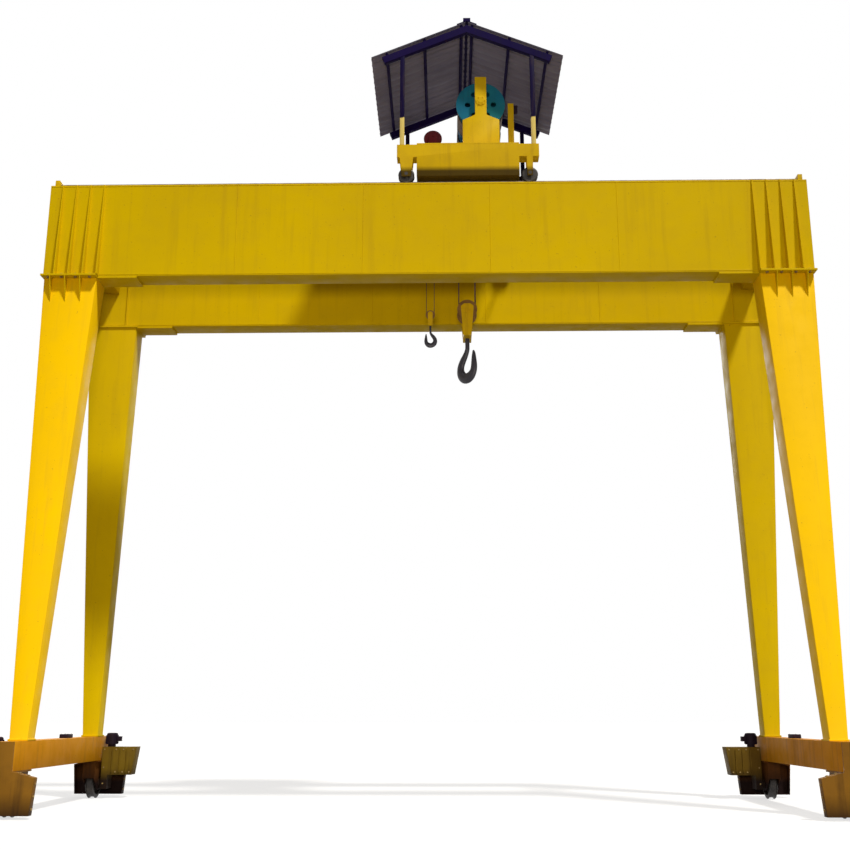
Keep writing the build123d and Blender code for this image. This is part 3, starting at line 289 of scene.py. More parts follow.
def painted_steel(name, fresh, faded, dirt, streaks=0.5, chips=0.5, dust=0.0, grease=0.0, grease_and_shade_band=(0.12, 0.58),
                  shine=0.04):
    """Sprayed paint with clouds of fading, dirt streaks, rusty chips, dust low down,
    and a dark band low down that is partly grease and partly painted shade.
    """
    finish, tree, shader, place = new_finish(name)
    clouds = noise(tree, place, 0.45, 3)
    colour = tint(tree, window(tree, clouds, 0.36, 0.66, 0, 1), fresh, faded)
    mottle = noise(tree, place, 3.2, 5)
    colour = tint(tree, window(tree, mottle, 0.45, 0.8, 0, 0.4 * streaks), colour, dirt)
    runs = noise(tree, stretched(tree, place, (7, 7, 0.4)), 1.0, 5)
    colour = tint(tree, window(tree, runs, 0.53, 0.76, 0, streaks), colour, dirt)
    specks = noise(tree, place, 26, 3)
    colour = tint(tree, window(tree, specks, 0.69, 0.73, 0, chips), colour, rust)
    if dust or grease:
        height = height_of(tree, place)
        colour = tint(tree, window(tree, height, dust_low, dust_high, dust, 0), colour, yard_dust)
        # Grease and painted shade: darker below the band that the grease setting and its two heights give.
        colour = tint(tree, window(tree, height, *grease_and_shade_band, grease, 0), colour, grease_and_painted_shade)
    tree.links.new(colour, shader.inputs["Base Color"])
    tree.links.new(window(tree, mottle, 0.3, 0.75, 0.36, 0.64), shader.inputs["Roughness"])
    shader.inputs["Specular IOR Level"].default_value = shine
    bump(tree, shader, noise(tree, place, 55, 3), 0.0006)
    print(name, len(tree.nodes), "nodes")
    return finish


# %% Paints of the portal
girder_paint = painted_steel("girder_paint", fresh=(0.67, 0.47, 0.0), faded=(0.62, 0.43, 0.002),
                             dirt=(0.42, 0.26, 0.01), streaks=0.3, chips=0.4)
leg_paint = painted_steel("leg_paint", fresh=(0.92, 0.575, 0.0), faded=(0.87, 0.54, 0.002),
                          dirt=(0.55, 0.33, 0.02), streaks=0.3, chips=0.4, dust=0.12)
# The sills take a browner, darker copy of the yellow paint, which is painted shade.
sill_painted_shade = painted_steel("sill_painted_shade", fresh=(0.66, 0.29, 0.006), faded=(0.58, 0.24, 0.006),
                           dirt=(0.25, 0.1, 0.01))
# The truck paint is dark brown and darker towards the bottom: partly dark paint and grease, partly painted
# shade of the trucks' sides and skirts.
truck_paint = painted_steel("truck_paint", fresh=(0.25, 0.12, 0.014), faded=(0.2, 0.095, 0.014),
                            dirt=(0.045, 0.022, 0.01), streaks=0.8, grease=0.75, grease_and_shade_band=(0.08, 0.42))
# The rear trucks take a darker copy of the truck paint, nearly black low down: painted shade, with some
# grease.
inner_truck_grease_and_shade = painted_steel("inner_truck_grease_and_shade", fresh=(0.16, 0.06, 0.012), faded=(0.12, 0.045, 0.012),
                                  dirt=(0.03, 0.016, 0.01), streaks=0.8, grease=0.97, grease_and_shade_band=(0.3, 0.62))
# The drives are darker towards the bottom of the gear cases: partly grease, partly painted shade.
drive_paint_grease_and_shade = painted_steel("drive_paint_grease_and_shade", fresh=(0.17, 0.11, 0.01), faded=(0.12, 0.07, 0.012),
                            dirt=(0.035, 0.02, 0.01), streaks=0.8, grease=0.96, grease_and_shade_band=(0.36, 0.6))
motor_paint = painted_steel("motor_paint", fresh=(0.016, 0.01, 0.02), faded=(0.026, 0.016, 0.028),
                            dirt=(0.03, 0.02, 0.02))
stop_paint = painted_steel("stop_paint", fresh=(0.72, 0.48, 0.004), faded=(0.65, 0.45, 0.01),
                           dirt=(0.3, 0.18, 0.02))

# %% Paints of the trolley
trolley_coat = {"fresh": (0.74, 0.5, 0.006), "faded": (0.66, 0.44, 0.01), "dirt": (0.32, 0.17, 0.015)}
beam_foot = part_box("trolley_front_beam")[0].z
trolley_paint = painted_steel("trolley_paint", **trolley_coat, streaks=0.45)
# The trolley beams are darker along their foot: painted shade of the beams' underside, made with the grease
# colour.
beam_paint_with_painted_shade = painted_steel("beam_paint_with_painted_shade", **trolley_coat, streaks=0.45, grease=0.9,
                           grease_and_shade_band=(beam_foot + 0.11, beam_foot + 0.22))
gearbox_paint = painted_steel("gearbox_paint", fresh=(0.44, 0.27, 0.02), faded=(0.38, 0.24, 0.03),
                              dirt=(0.1, 0.06, 0.02), streaks=0.7)
drum_paint = painted_steel("drum_paint", fresh=(0.004, 0.1, 0.26), faded=(0.03, 0.26, 0.28),
                           dirt=(0.008, 0.04, 0.07), streaks=0.4)
aux_paint = painted_steel("aux_paint", fresh=(0.05, 0.004, 0.008), faded=(0.07, 0.007, 0.009),
                          dirt=(0.02, 0.006, 0.006))
hood_navy = painted_steel("hood_steel", fresh=(0.008, 0.004, 0.05), faded=(0.012, 0.006, 0.06),
                          dirt=(0.012, 0.01, 0.02), streaks=0.4, shine=0.03)


# %% Posts with painted shade above
def pale_posts_with_painted_shade(name, lower, upper, change, raggedness=0.12):
    """Posts pale up to a height over the deck, and dark above it: painted shade of the hood."""
    finish, tree, shader, place = new_finish(name)
    ragged = node(tree, "ShaderNodeMath", operation="MULTIPLY_ADD")
    ragged.inputs[1].default_value = raggedness
    tree.links.new(noise(tree, place, 14, 3), ragged.inputs[0])
    tree.links.new(height_of(tree, place), ragged.inputs[2])
    colour = tint(tree, window(tree, ragged.outputs[0], change, change + 0.03, 0, 1), lower, upper)
    grime = noise(tree, stretched(tree, place, (12, 12, 1.2)), 1.0, 5)
    colour = tint(tree, window(tree, grime, 0.5, 0.78, 0, 0.5), colour, (0.09, 0.06, 0.03))
    tree.links.new(colour, shader.inputs["Base Color"])
    tree.links.new(window(tree, grime, 0.3, 0.7, 0.4, 0.62), shader.inputs["Roughness"])
    shader.inputs["Specular IOR Level"].default_value = 0.03
    bump(tree, shader, noise(tree, place, 60, 3), 0.0005)
    print(name, len(tree.nodes), "nodes")
    return finish


# The height over the deck where the posts turn dark: the edge of the painted shade.
shade_edge_over_deck = 0.65
post_paint_and_hood_shade = pale_posts_with_painted_shade("post_paint_and_hood_shade", lower=(0.82, 0.66, 0.2), upper=(0.007, 0.004, 0.035),
                       change=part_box("hood_posts")[0].z + shade_edge_over_deck)

# %% [markdown]
# ## Sheet, rails, ropes and forgings
#
# The hood is coated profiled sheet: a dull slate colour, with rain marks down the slope. Rails and
# wheels are bare rolled and forged steel, brown with rust away from the polished running line.
# Hooks are black forgings with a scaly skin. Ropes shine a little through their grease.


# %% Bare steel finishes
def bare_steel(name, dark, light, metallic, gloss, grain, scale):
    """Rolled or forged steel: two tones in patches, with a scaly skin."""
    finish, tree, shader, place = new_finish(name)
    patches = noise(tree, place, scale, 5)
    colour = tint(tree, window(tree, patches, 0.35, 0.7, 0, 1), dark, light)
    skin = noise(tree, place, scale * 9, 4)
    tree.links.new(colour, shader.inputs["Base Color"])
    tree.links.new(window(tree, skin, 0.3, 0.7, gloss - 0.1, gloss + 0.15), shader.inputs["Roughness"])
    shader.inputs["Metallic"].default_value = metallic
    bump(tree, shader, skin, grain)
    print(name, len(tree.nodes), "nodes")
    return finish


rail_steel = bare_steel("rail_steel", dark=(0.13, 0.085, 0.06), light=(0.3, 0.25, 0.22),
                        metallic=0.7, gloss=0.45, grain=0.0006, scale=6)
wheel_steel = bare_steel("wheel_steel", dark=(0.018, 0.016, 0.016), light=(0.045, 0.038, 0.034),
                         metallic=0.5, gloss=0.45, grain=0.0008, scale=7)
hook_steel = bare_steel("hook_steel", dark=(0.005, 0.004, 0.011), light=(0.013, 0.01, 0.02),
                        metallic=0.1, gloss=0.45, grain=0.0012, scale=14)
# The sheaves are a dark ochre-brown in place of bare dark steel: painted shade, so they read as the shaded
# part of the yellow block.
sheave_steel = bare_steel("sheave_steel", dark=(0.16, 0.08, 0.015), light=(0.26, 0.14, 0.025),
                          metallic=0.15, gloss=0.5, grain=0.0006, scale=9)
rope_steel = bare_steel("rope_steel", dark=(0.07, 0.045, 0.028), light=(0.16, 0.11, 0.075),
                        metallic=0.6, gloss=0.42, grain=0.0004, scale=20)
bolt_steel = bare_steel("bolt_steel", dark=(0.2, 0.13, 0.05), light=(0.36, 0.25, 0.08),
                        metallic=0.4, gloss=0.5, grain=0.0004, scale=30)


# %% Coated hood sheet
def coated_sheet(name, dark, light, washed):
    """Dull coated roof sheet with rain marks down the slope and a dusty bloom."""
    finish, tree, shader, place = new_finish(name)
    clouds = noise(tree, place, 0.9, 4)
    colour = tint(tree, window(tree, clouds, 0.35, 0.7, 0, 1), dark, light)
    runs = noise(tree, stretched(tree, place, (0.5, 9, 0.5)), 1.0, 4)
    colour = tint(tree, window(tree, runs, 0.5, 0.75, 0, 0.35), colour, washed)
    tree.links.new(colour, shader.inputs["Base Color"])
    tree.links.new(window(tree, runs, 0.3, 0.7, 0.42, 0.7), shader.inputs["Roughness"])
    shader.inputs["Specular IOR Level"].default_value = 0.15
    bump(tree, shader, noise(tree, place, 40, 2), 0.0005)
    print(name, len(tree.nodes), "nodes")
    return finish


hood_sheet = coated_sheet("hood_sheet", dark=(0.16, 0.155, 0.25), light=(0.21, 0.205, 0.31),
                          washed=(0.11, 0.1, 0.15))

# %% Which finish goes where
finish_of = {
    "girder_paint": girder_paint, "leg_paint": leg_paint, "truck_paint": truck_paint,
    "motor_paint": motor_paint, "wheel_steel": wheel_steel, "rail_steel": rail_steel,
    "stop_paint": stop_paint, "trolley_paint": trolley_paint, "gearbox_paint": gearbox_paint,
    "drum_paint": drum_paint, "aux_paint": aux_paint, "hood_sheet": hood_sheet, "hood_steel": hood_navy,
    "rope_steel": rope_steel, "sheave_steel": sheave_steel, "hook_steel": hook_steel,
}
# The rear legs take the girders' darker paint in place of the leg paint, which is painted shade.
finish_of_node = {
    "hood_posts": post_paint_and_hood_shade, "left_sill_beam": sill_painted_shade, "right_sill_beam": sill_painted_shade,
    "travel_gearboxes": drive_paint_grease_and_shade, "rear_left_truck": inner_truck_grease_and_shade,
    "rear_right_truck": inner_truck_grease_and_shade, "rear_left_leg": girder_paint, "rear_right_leg": girder_paint,
    "trolley_front_beam": beam_paint_with_painted_shade, "trolley_rear_beam": beam_paint_with_painted_shade, "trolley_cross_beams": beam_paint_with_painted_shade,
}
print(len(finish_of), "slots and", len(finish_of_node), "nodes with a finish of their own")

# %% [markdown]
# ## Ground edges
#
# A CAD edge is perfectly sharp, and sharp edges never catch the light. Each node is copied, its
# loose triangles are merged back into flat faces, and its long corners are bevelled by a few
# millimetres, as a grinder leaves them. The copy then stands for the node.


# %% Add a piece
def add_piece(bm, name, finish, body):
    """Make a mesh object from a bmesh and let it ride on a body."""
    mesh = bpy.data.meshes.new(name)
    bm.to_mesh(mesh)
    bm.free()
    mesh.materials.append(finish)
    mesh.shade_smooth()
    mesh.set_sharp_from_angle(angle=radians(28))
    piece = bpy.data.objects.new(name, mesh)
    scene.collection.objects.link(piece)
    if body:
        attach(piece, body)
    return piece


# %% Merge a node's triangles
same_point = 1e-5


def part_solids(bm):
    """Split solids that touch along an edge, so that each is closed by itself."""
    waiting = set(bm.faces)
    while waiting:
        front = [waiting.pop()]
        solid = []
        while front:
            face = front.pop()
            solid.append(face)
            beside = {f for edge in face.edges if len(edge.link_faces) == 2 for f in edge.link_faces}
            front += beside & waiting
            waiting -= beside
        if waiting:
            bmesh.ops.split(bm, geom=solid)


def merged(source):
    """The node's triangles as one mesh with flat faces."""
    bm = bmesh.new()
    bm.from_mesh(source.data)
    bmesh.ops.remove_doubles(bm, verts=bm.verts, dist=same_point)
    if any(len(edge.link_faces) > 2 for edge in bm.edges):
        part_solids(bm)
    bmesh.ops.dissolve_limit(bm, angle_limit=radians(0.4), verts=bm.verts, edges=bm.edges)
    return bm


# %% Copy a node with softened corners
def round_edges(bm, edges, radius, segments=2):
    """Bevel some edges of a mesh."""
    bmesh.ops.bevel(bm, geom=edges, offset=radius, offset_type="OFFSET", segments=segments, profile=0.5,
                    affect="EDGES", clamp_overlap=True, material=-1)


def long_corners(bm, shortest):
    """The sharp edges between two faces that are worth grinding."""
    return [edge for edge in bm.edges if len(edge.link_faces) == 2 and edge.calc_length() > shortest
            and edge.calc_face_angle(0) > radians(40)]


def soften(name, radius, shortest=0.06):
    """Copy a node with its long corners bevelled, and let the copy stand for it."""
    source = frame["nodes"][name]
    bm = merged(source)
    if radius:
        round_edges(bm, long_corners(bm, shortest), radius)
        bmesh.ops.dissolve_degenerate(bm, dist=same_point, edges=bm.edges)
    slot = slot_of[name]
    finish = finish_of_node.get(name, finish_of[slot])
    piece = add_piece(bm, name + "_ground", finish, source["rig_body"])
    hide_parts(name)
    return piece


# %% Soften every node but the ropes
nodes_by_radius = {
    0.002: ["aux_block"],
    0.003: ["trolley_rails", "hood_frame"],
    0.004: ["front_girder_ribs", "rear_girder_ribs", "trolley_deck", "main_block"],
    0.005: ["leg_heads", "aux_stands", "front_left_truck", "front_right_truck", "rear_left_truck",
            "rear_right_truck"],
    0.006: ["front_girder_flanges", "rear_girder_flanges", "rail_stops", "trolley_front_beam",
            "trolley_rear_beam", "trolley_cross_beams", "hood_posts", "limit_post"],
    0.008: ["end_ties", "drum_stands"],
    0.01: ["left_sill_beam", "right_sill_beam"],
    0.012: ["front_left_leg", "front_right_leg", "rear_left_leg", "rear_right_leg", "hoist_gearbox"],
    0.014: ["travel_gearboxes"],
}
corner_radius = {name: radius for radius, names in nodes_by_radius.items() for name in names}
solid_nodes = sorted(set(slot_of) - {"main_ropes", "aux_ropes"})
for name in solid_nodes:
    soften(name, corner_radius.get(name, 0))
print("softened", len(solid_nodes), "nodes")

# %% [markdown]
# ## Ropes
#
# A wire rope is strands laid round each other, so its outline is lobed and twists along its
# length. One lobed ring is spun about the rope's own line while it sinks, which is what the spin
# operator does with an offset. Each fall then hangs straight down from the trolley to its hook block.

# %% A fall of rope
strand_valley, steps_per_twist = 0.84, 8


def cap_ends(bm):
    """Close the open ends of a tube."""
    bmesh.ops.holes_fill(bm, edges=[edge for edge in bm.edges if edge.is_boundary], sides=0)


def rope_fall(name, top, bottom, radius, twist, node_name):
    """One straight fall of laid rope from top to bottom."""
    bm = bmesh.new()
    ring = bmesh.ops.create_circle(bm, cap_ends=False, segments=12, radius=radius)["verts"]
    for i, corner in enumerate(ring):
        if i % 2:
            corner.co *= strand_valley
    bmesh.ops.translate(bm, verts=ring, vec=top)
    length = top.z - bottom.z
    steps = max(2, round(length / twist * steps_per_twist))
    bmesh.ops.spin(bm, geom=bm.edges[:], cent=top, axis=(0, 0, 1), dvec=(0, 0, -length / steps),
                   angle=2 * pi * length / twist, steps=steps, use_merge=False, use_duplicate=False)
    cap_ends(bm)
    bmesh.ops.recalc_face_normals(bm, faces=bm.faces)
    piece = add_piece(bm, name, rope_steel, None)
    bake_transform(piece)
    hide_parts(node_name)
    return piece


# %% Lead the falls
main_low, main_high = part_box("main_ropes")
aux_low, aux_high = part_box("aux_ropes")
lug_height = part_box("trolley_deck")[0].z
main_radius, aux_radius = 0.011, 0.007
main_twist, aux_twist = 0.16, 0.1
main_ends = (("drum", main_low.x + main_radius, main_high.z),
             ("return", main_high.x - main_radius, lug_height))
aux_ends = (("drum", aux_low.x + aux_radius, aux_high.z),
            ("return", aux_high.x - aux_radius, lug_height))
for side, y in (("front", main_low.y + main_radius), ("rear", main_high.y - main_radius)):
    for end, x, z in main_ends:
        rope_fall(f"{side}_{end}_fall", Vector((x, y, z)), Vector((x, y, main_low.z)),
                  main_radius, main_twist, "main_ropes")
aux_y = (aux_low.y + aux_high.y) / 2
for end, x, z in aux_ends:
    rope_fall(f"aux_{end}_fall", Vector((x, aux_y, z)), Vector((x, aux_y, aux_low.z)),
              aux_radius, aux_twist, "aux_ropes")
print("rope falls", round(main_high.z - main_low.z, 2), "m and", round(aux_high.z - aux_low.z, 2), "m")

# %% [markdown]
# ## Hardware
#
# Plates are held by hexagon bolts on washers. Hundreds of them are needed, so each is kept to two
# small prisms made by the cone operator: a twelve-sided washer and a six-sided head. A helper
# stands a prism on a point so that it grows along the outward direction of its plate.


# %% Stand a shape on a surface
def standing(place, outward):
    """The transform that puts a shape's foot at a place, with its Z along outward."""
    turn = Vector((0, 0, 1)).rotation_difference(Vector(outward))
    return Matrix.Translation(place) @ turn.to_matrix().to_4x4()


def prism(bm, place, outward, sides, radius, height):
    """A capped prism that stands on a place."""
    shape = standing(place, outward) @ Matrix.Translation((0, 0, height / 2))
    bmesh.ops.create_cone(bm, cap_ends=True, cap_tris=False, segments=sides, radius1=radius, radius2=radius,
                          depth=height, matrix=shape)


def block(bm, middle, size):
    """A box of a given size round its middle."""
    shape = Matrix.Translation(middle) @ Matrix.Diagonal((*size, 1))
    return bmesh.ops.create_cube(bm, size=1, matrix=shape)["verts"]


# %% Bolts, sized in shares of the thread's diameter
washer_radius, washer_height = 1.15, 0.16
head_radius, head_height = 0.92, 0.62


def bolt(bm, place, outward, thread):
    """A hexagon head on its washer."""
    step = Vector(outward) * washer_height * thread
    prism(bm, place, outward, 12, washer_radius * thread, washer_height * thread)
    prism(bm, Vector(place) + step, outward, 6, head_radius * thread, head_height * thread)


def bolts(name, places, thread, finish, body):
    """One object with a bolt at every (place, outward)."""
    bm = bmesh.new()
    for place, outward in places:
        bolt(bm, place, outward, thread)
    print(name, len(places), "bolts,", len(bm.faces), "faces")
    return add_piece(bm, name, finish, body)


# %% Corners of the portal
corners = [(sx, sy) for sx in (-1, 1) for sy in (-1, 1)]
wheel_low, wheel_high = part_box("rear_right_wheel")
sill_x, wheel_y, wheel_z = (wheel_low + wheel_high) / 2
girder_end, web_outer, web_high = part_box("rear_girder_webs")[1]
web_inner, web_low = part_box("rear_girder_webs")[0].yz
print("webs", round(web_inner, 3), "to", round(web_outer, 3), "m from the middle")

# %% [markdown]
# ## Bolted leg heads
#
# Each leg carries a flat head plate that is bolted to the girder between its fins, so the girder
# can be lifted off on site. The bolts go down through the plate: heads above, nuts below.

# %% Leg-head bolts
between_fins = (7.37, 7.107, 6.831, 6.555)
overhang, head_plate, head_thread = 0.08, 0.04, 0.03
plate_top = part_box("leg_heads")[1].z
plate_low = plate_top - head_plate
places = []
for sx, sy in corners:
    for x in between_fins:
        spot = Vector((sx * x, sy * (web_outer + overhang), 0))
        places.append((spot + Vector((0, 0, plate_top)), (0, 0, 1)))
        places.append((spot + Vector((0, 0, plate_low)), (0, 0, -1)))
bolts("leg_head_bolts", places, head_thread, bolt_steel, "crane")

# %% [markdown]
# ## Weld seams
#
# A box girder is welded from plates about 2.5 m long. The seams stand a few millimetres proud and
# catch dirt: one along each flange, and butt seams up each web. A seam is a slim eight-sided bead,
# half sunk in the plate, in the girder's paint.

# %% Girder seams
seam_radius, seam_end, plate_length, butt_seams = 0.006, 0.02, 2.5, 4


def bead(bm, start, end):
    """A weld bead from start to end."""
    run = Vector(end) - Vector(start)
    prism(bm, start, run.normalized(), 8, seam_radius, run.length)


bm = bmesh.new()
for sy in (-1, 1):
    for y in (sy * web_outer, sy * web_inner):
        for z in (web_low, web_high):
            bead(bm, (-girder_end + seam_end, y, z), (girder_end - seam_end, y, z))
        for i in range(butt_seams):
            x = plate_length * (i - (butt_seams - 1) / 2)
            bead(bm, (x, y, web_low), (x, y, web_high))
print("seams", len(bm.faces), "faces")
add_piece(bm, "girder_seams", girder_paint, "crane")

# %% [markdown]
# ## Rail clips
#
# The trolley rails are held by short clamp plates, bolted down in pairs along the rail's foot. A
# clip is a block with its upper edges bevelled, copied along the girder.

# %% One rail clip
clip_length, clip_width, clip_height = 0.07, 0.075, 0.028
clip_corner, clip_thread = 0.006, 0.016
rail_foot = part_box("trolley_rails")[0].z


def clip(bm, place):
    """A clamp plate, bevelled on top, with its bolt."""
    middle = Vector(place) + Vector((0, 0, clip_height / 2))
    made = block(bm, middle, (clip_length, clip_width, clip_height))
    upper = [e for e in bm.edges if all(v in made and v.co.z > middle.z for v in e.verts)]
    round_edges(bm, upper, clip_corner, segments=1)
    bolt(bm, Vector(place) + Vector((0, 0, clip_height)), (0, 0, 1), clip_thread)


one = bmesh.new()
clip(one, (0, 0, rail_foot))
clip_mesh = bpy.data.meshes.new("clip")
one.to_mesh(clip_mesh)
one.free()
print("one clip", len(clip_mesh.polygons), "faces")

# %% Clips along the rails
first_clip, clip_spacing, clips_in_row, clip_offset = -6.9, 0.6, 24, 0.082
flange_low, flange_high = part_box("rear_girder_flanges")
rail_y = (flange_low.y + flange_high.y) / 2
bm = bmesh.new()
for sy in (-1, 1):
    for side in (-1, 1):
        for i in range(clips_in_row):
            first = len(bm.verts)
            bm.from_mesh(clip_mesh)
            bm.verts.ensure_lookup_table()
            place = (first_clip + clip_spacing * i, sy * rail_y + side * clip_offset, 0)
            bmesh.ops.translate(bm, verts=bm.verts[first:], vec=place)
print("rail clips", len(bm.faces), "faces")
add_piece(bm, "rail_clips", rail_steel, "crane")
bpy.data.meshes.remove(clip_mesh)

# %% [markdown]
# ## Wheel trucks
#
# The skirt of each truck's end plate is bolted along its leaning sides and its sloping shoulders.
# On the side without a drive, a turned cover closes the axle's bore; it is a profile spun round
# the axle's line.

# %% Truck bolts
skirt_inset, truck_thread = 0.09, 0.022
skirt_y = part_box("rear_right_truck")[1].y - skirt_inset
foot_half, foot_z, lean = 0.5, 0.06, 0.083
shoulder_half, shoulder_z, slope = 0.55, 0.66, 0.263
side_heights, shoulder_places = (0.16, 0.36, 0.56), (0.28, 0.43)
places = []
for sx, sy in corners:
    for side in (-1, 1):
        leaning = Vector((side, 0, -lean)).normalized()
        for z in side_heights:
            x = foot_half + lean * (z - foot_z)
            places.append((Vector((sx * sill_x + side * x, sy * skirt_y, z)), leaning))
        sloping = Vector((side * slope, 0, 1)).normalized()
        for x in shoulder_places:
            z = shoulder_z + slope * (shoulder_half - x)
            places.append((Vector((sx * sill_x + side * x, sy * skirt_y, z)), sloping))
bolts("truck_bolts", places, truck_thread, bolt_steel, "crane")

# %% Turned covers
bedding = 0.004


def turned(bm, profile, steps, place, outward):
    """Spin a (radius, height) profile round its own axis and stand it on a place."""
    line = [bm.verts.new((radius, 0, height)) for radius, height in profile]
    edges = [bm.edges.new(pair) for pair in zip(line, line[1:])]
    known = set(bm.verts) - set(line)
    bmesh.ops.spin(bm, geom=line + edges, cent=(0, 0, 0), axis=(0, 0, 1), angle=2 * pi, steps=steps,
                   use_merge=True, use_duplicate=False)
    fresh = [v for v in bm.verts if v not in known]
    bmesh.ops.remove_doubles(bm, verts=fresh, dist=same_point)
    fresh = [v for v in bm.verts if v not in known]
    faces = list({f for v in fresh for f in v.link_faces})
    bmesh.ops.recalc_face_normals(bm, faces=faces)
    bmesh.ops.transform(bm, matrix=standing(place, outward), verts=fresh)


def cover(bm, place, outward, radius, count, thread):
    """A stepped round cover with a ring of bolts."""
    rise = 0.18 * radius
    rim, ledge, bolt_circle = 0.5 * rise, 0.6 * rise, 0.8 * radius
    turned(bm, [(0, -bedding), (radius, -bedding), (radius, rim), (0.95 * radius, ledge),
                (0.62 * radius, ledge), (0.56 * radius, rise), (0, rise)], 28, place, outward)
    foot = standing(place, outward)
    for i in range(count):
        turn = 2 * pi * i / count
        spot = foot @ Vector((bolt_circle * cos(turn), bolt_circle * sin(turn), ledge))
        bolt(bm, spot, outward, thread)


# %% Axle covers
cheek_face = 0.125
bm = bmesh.new()
for sx, sy in corners:
    out = -sx if sy < 0 else sx
    middle = (sx * sill_x + out * cheek_face, sy * wheel_y, wheel_z)
    cover(bm, middle, (out, 0, 0), radius=0.1, count=6, thread=0.012)
print("axle covers", len(bm.faces), "faces")
add_piece(bm, "axle_covers", truck_paint, "crane")

# %% [markdown]
# ## Motors
#
# A totally enclosed motor sheds its heat through fins along the housing, and its cables go into a
# small terminal box. One thin fin is drawn against the housing, and the spin operator lays copies
# of it round the motor's axis. The box has its corners bevelled and a lid held by four screws.

# %% Fins and terminal boxes
fin_thickness = 0.006
box_corner, box_thread, screw_share = 0.008, 0.007, 0.36


def ring_of_fins(bm, middle, axis, inner, outer, length, count):
    """Copies of one fin round a motor whose middle and axis are given."""
    along = Vector(axis)
    size = Vector((outer - inner, fin_thickness, fin_thickness))
    size += Vector([abs(part) * (length - fin_thickness) for part in along])
    verts = block(bm, Vector(middle) + Vector((1, 0, 0)) * (inner + outer) / 2, size)
    faces = list({f for v in verts for f in v.link_faces})
    bmesh.ops.spin(bm, geom=faces, cent=middle, axis=along, angle=2 * pi * (count - 1) / count,
                   steps=count - 1, use_duplicate=True, use_merge=False)


def terminal_box(bm, middle, size, outward):
    """A bevelled box with a screw near each corner of its lid."""
    made = block(bm, middle, size)
    round_edges(bm, list({e for v in made for e in v.link_edges}), box_corner)
    out = Vector(outward)
    sides = [Vector(axis) for axis in ((1, 0, 0), (0, 1, 0), (0, 0, 1)) if abs(out.dot(axis)) < 0.5]
    for a in (-screw_share, screw_share):
        for b in (-screw_share, screw_share):
            spread = sum((side * share * abs(side.dot(size)) for side, share in zip(sides, (a, b))), Vector())
            bolt(bm, Vector(middle) + spread + out * abs(out.dot(size)) / 2, outward, box_thread)


# %% Travel motors
motor_x, motor_z, motor_box_z, motor_box_x = 0.33, 1.175, 1.19, 0.15
bm = bmesh.new()
for sx, sy in corners:
    out = sx if sy < 0 else -sx
    x = sx * sill_x + out * motor_x
    ring_of_fins(bm, (x, sy * wheel_y, motor_z), (0, 0, 1), inner=0.108, outer=0.13, length=0.17, count=24)
    middle = Vector((x + out * motor_box_x, sy * wheel_y, motor_box_z))
    terminal_box(bm, middle, Vector((0.09, 0.11, 0.1)), (out, 0, 0))
print("travel motor fins", len(bm.faces), "faces")
add_piece(bm, "travel_motor_fins", motor_paint, "crane")

# %% Trolley motors
drive_low, drive_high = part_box("trolley_drive")
hoist_low, hoist_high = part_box("hoist_motor")
drive_mid, hoist_mid = (drive_low + drive_high) / 2, (hoist_low + hoist_high) / 2
shaft_z = hoist_high.z - 0.21
bm = bmesh.new()
ring_of_fins(bm, (drive_mid.x, drive_mid.y, drive_high.z - 0.19), (0, 0, 1),
             inner=0.098, outer=0.12, length=0.26, count=22)
terminal_box(bm, Vector((drive_mid.x + 0.14, drive_mid.y, drive_high.z - 0.18)),
             Vector((0.09, 0.11, 0.12)), (1, 0, 0))
ring_of_fins(bm, (hoist_mid.x, hoist_low.y + 0.31, shaft_z), (0, 1, 0),
             inner=0.2, outer=0.228, length=0.42, count=34)
terminal_box(bm, Vector((hoist_mid.x, hoist_low.y + 0.3, hoist_high.z + 0.05)),
             Vector((0.16, 0.2, 0.12)), (0, 0, 1))
print("trolley motor fins", len(bm.faces), "faces")
add_piece(bm, "trolley_motor_fins", motor_paint, "trolley")

# %% Auxiliary motor
aux_drum_low, aux_drum_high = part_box("aux_drum")
aux_drum_x, aux_drum_z = ((aux_drum_low + aux_drum_high) / 2).xz
aux_motor_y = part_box("aux_stands")[1].y - 0.28
bm = bmesh.new()
ring_of_fins(bm, (aux_drum_x, aux_motor_y, aux_drum_z), (0, 1, 0),
             inner=0.133, outer=0.153, length=0.36, count=26)
terminal_box(bm, Vector((aux_drum_x, aux_motor_y, aux_drum_z + 0.165)),
             Vector((0.1, 0.13, 0.08)), (0, 0, 1))
print("auxiliary motor fins", len(bm.faces), "faces")
add_piece(bm, "aux_motor_fins", aux_paint, "trolley")

# %% [markdown]
# ## Gear cases
#
# A cast gear case is stiffened by upright ribs, and its cover is bolted on all round. The ribs are
# flat bars with their long edges bevelled.

# %% Travel gear cases
bar_corner = 0.004


def stiffener(bm, middle, size):
    """A flat bar with its upright edges rounded."""
    made = block(bm, middle, size)
    upright = [e for v in made for e in v.link_edges
               if abs(e.verts[0].co.z - e.verts[1].co.z) > 0.5 * size[2]]
    round_edges(bm, list(set(upright)), bar_corner)


case_half, rib_proud, rib_z = 0.16, 0.005, 0.75
rib_places = (0.4, 0.56, 0.7)
case_bolts = ((0.235, 0.98), (0.235, 0.62), (0.235, 0.3), (0.48, 0.53), (0.63, 0.53), (0.77, 0.53),
              (0.83, 0.98), (0.63, 0.98), (0.48, 0.98))
bm = bmesh.new()
places = []
for sx, sy in corners:
    out = sx if sy < 0 else -sx
    for face in (-1, 1):
        y = sy * wheel_y + face * case_half
        for u in rib_places:
            stiffener(bm, (sx * sill_x + out * u, y + face * rib_proud, rib_z), (0.02, 0.03, 0.46))
        places += [((sx * sill_x + out * u, y, z), (0, face, 0)) for u, z in case_bolts]
print("gear case ribs", len(bm.faces), "faces")
add_piece(bm, "gear_case_ribs", drive_paint_grease_and_shade, "crane")
bolts("gear_case_bolts", places, 0.014, bolt_steel, "crane")

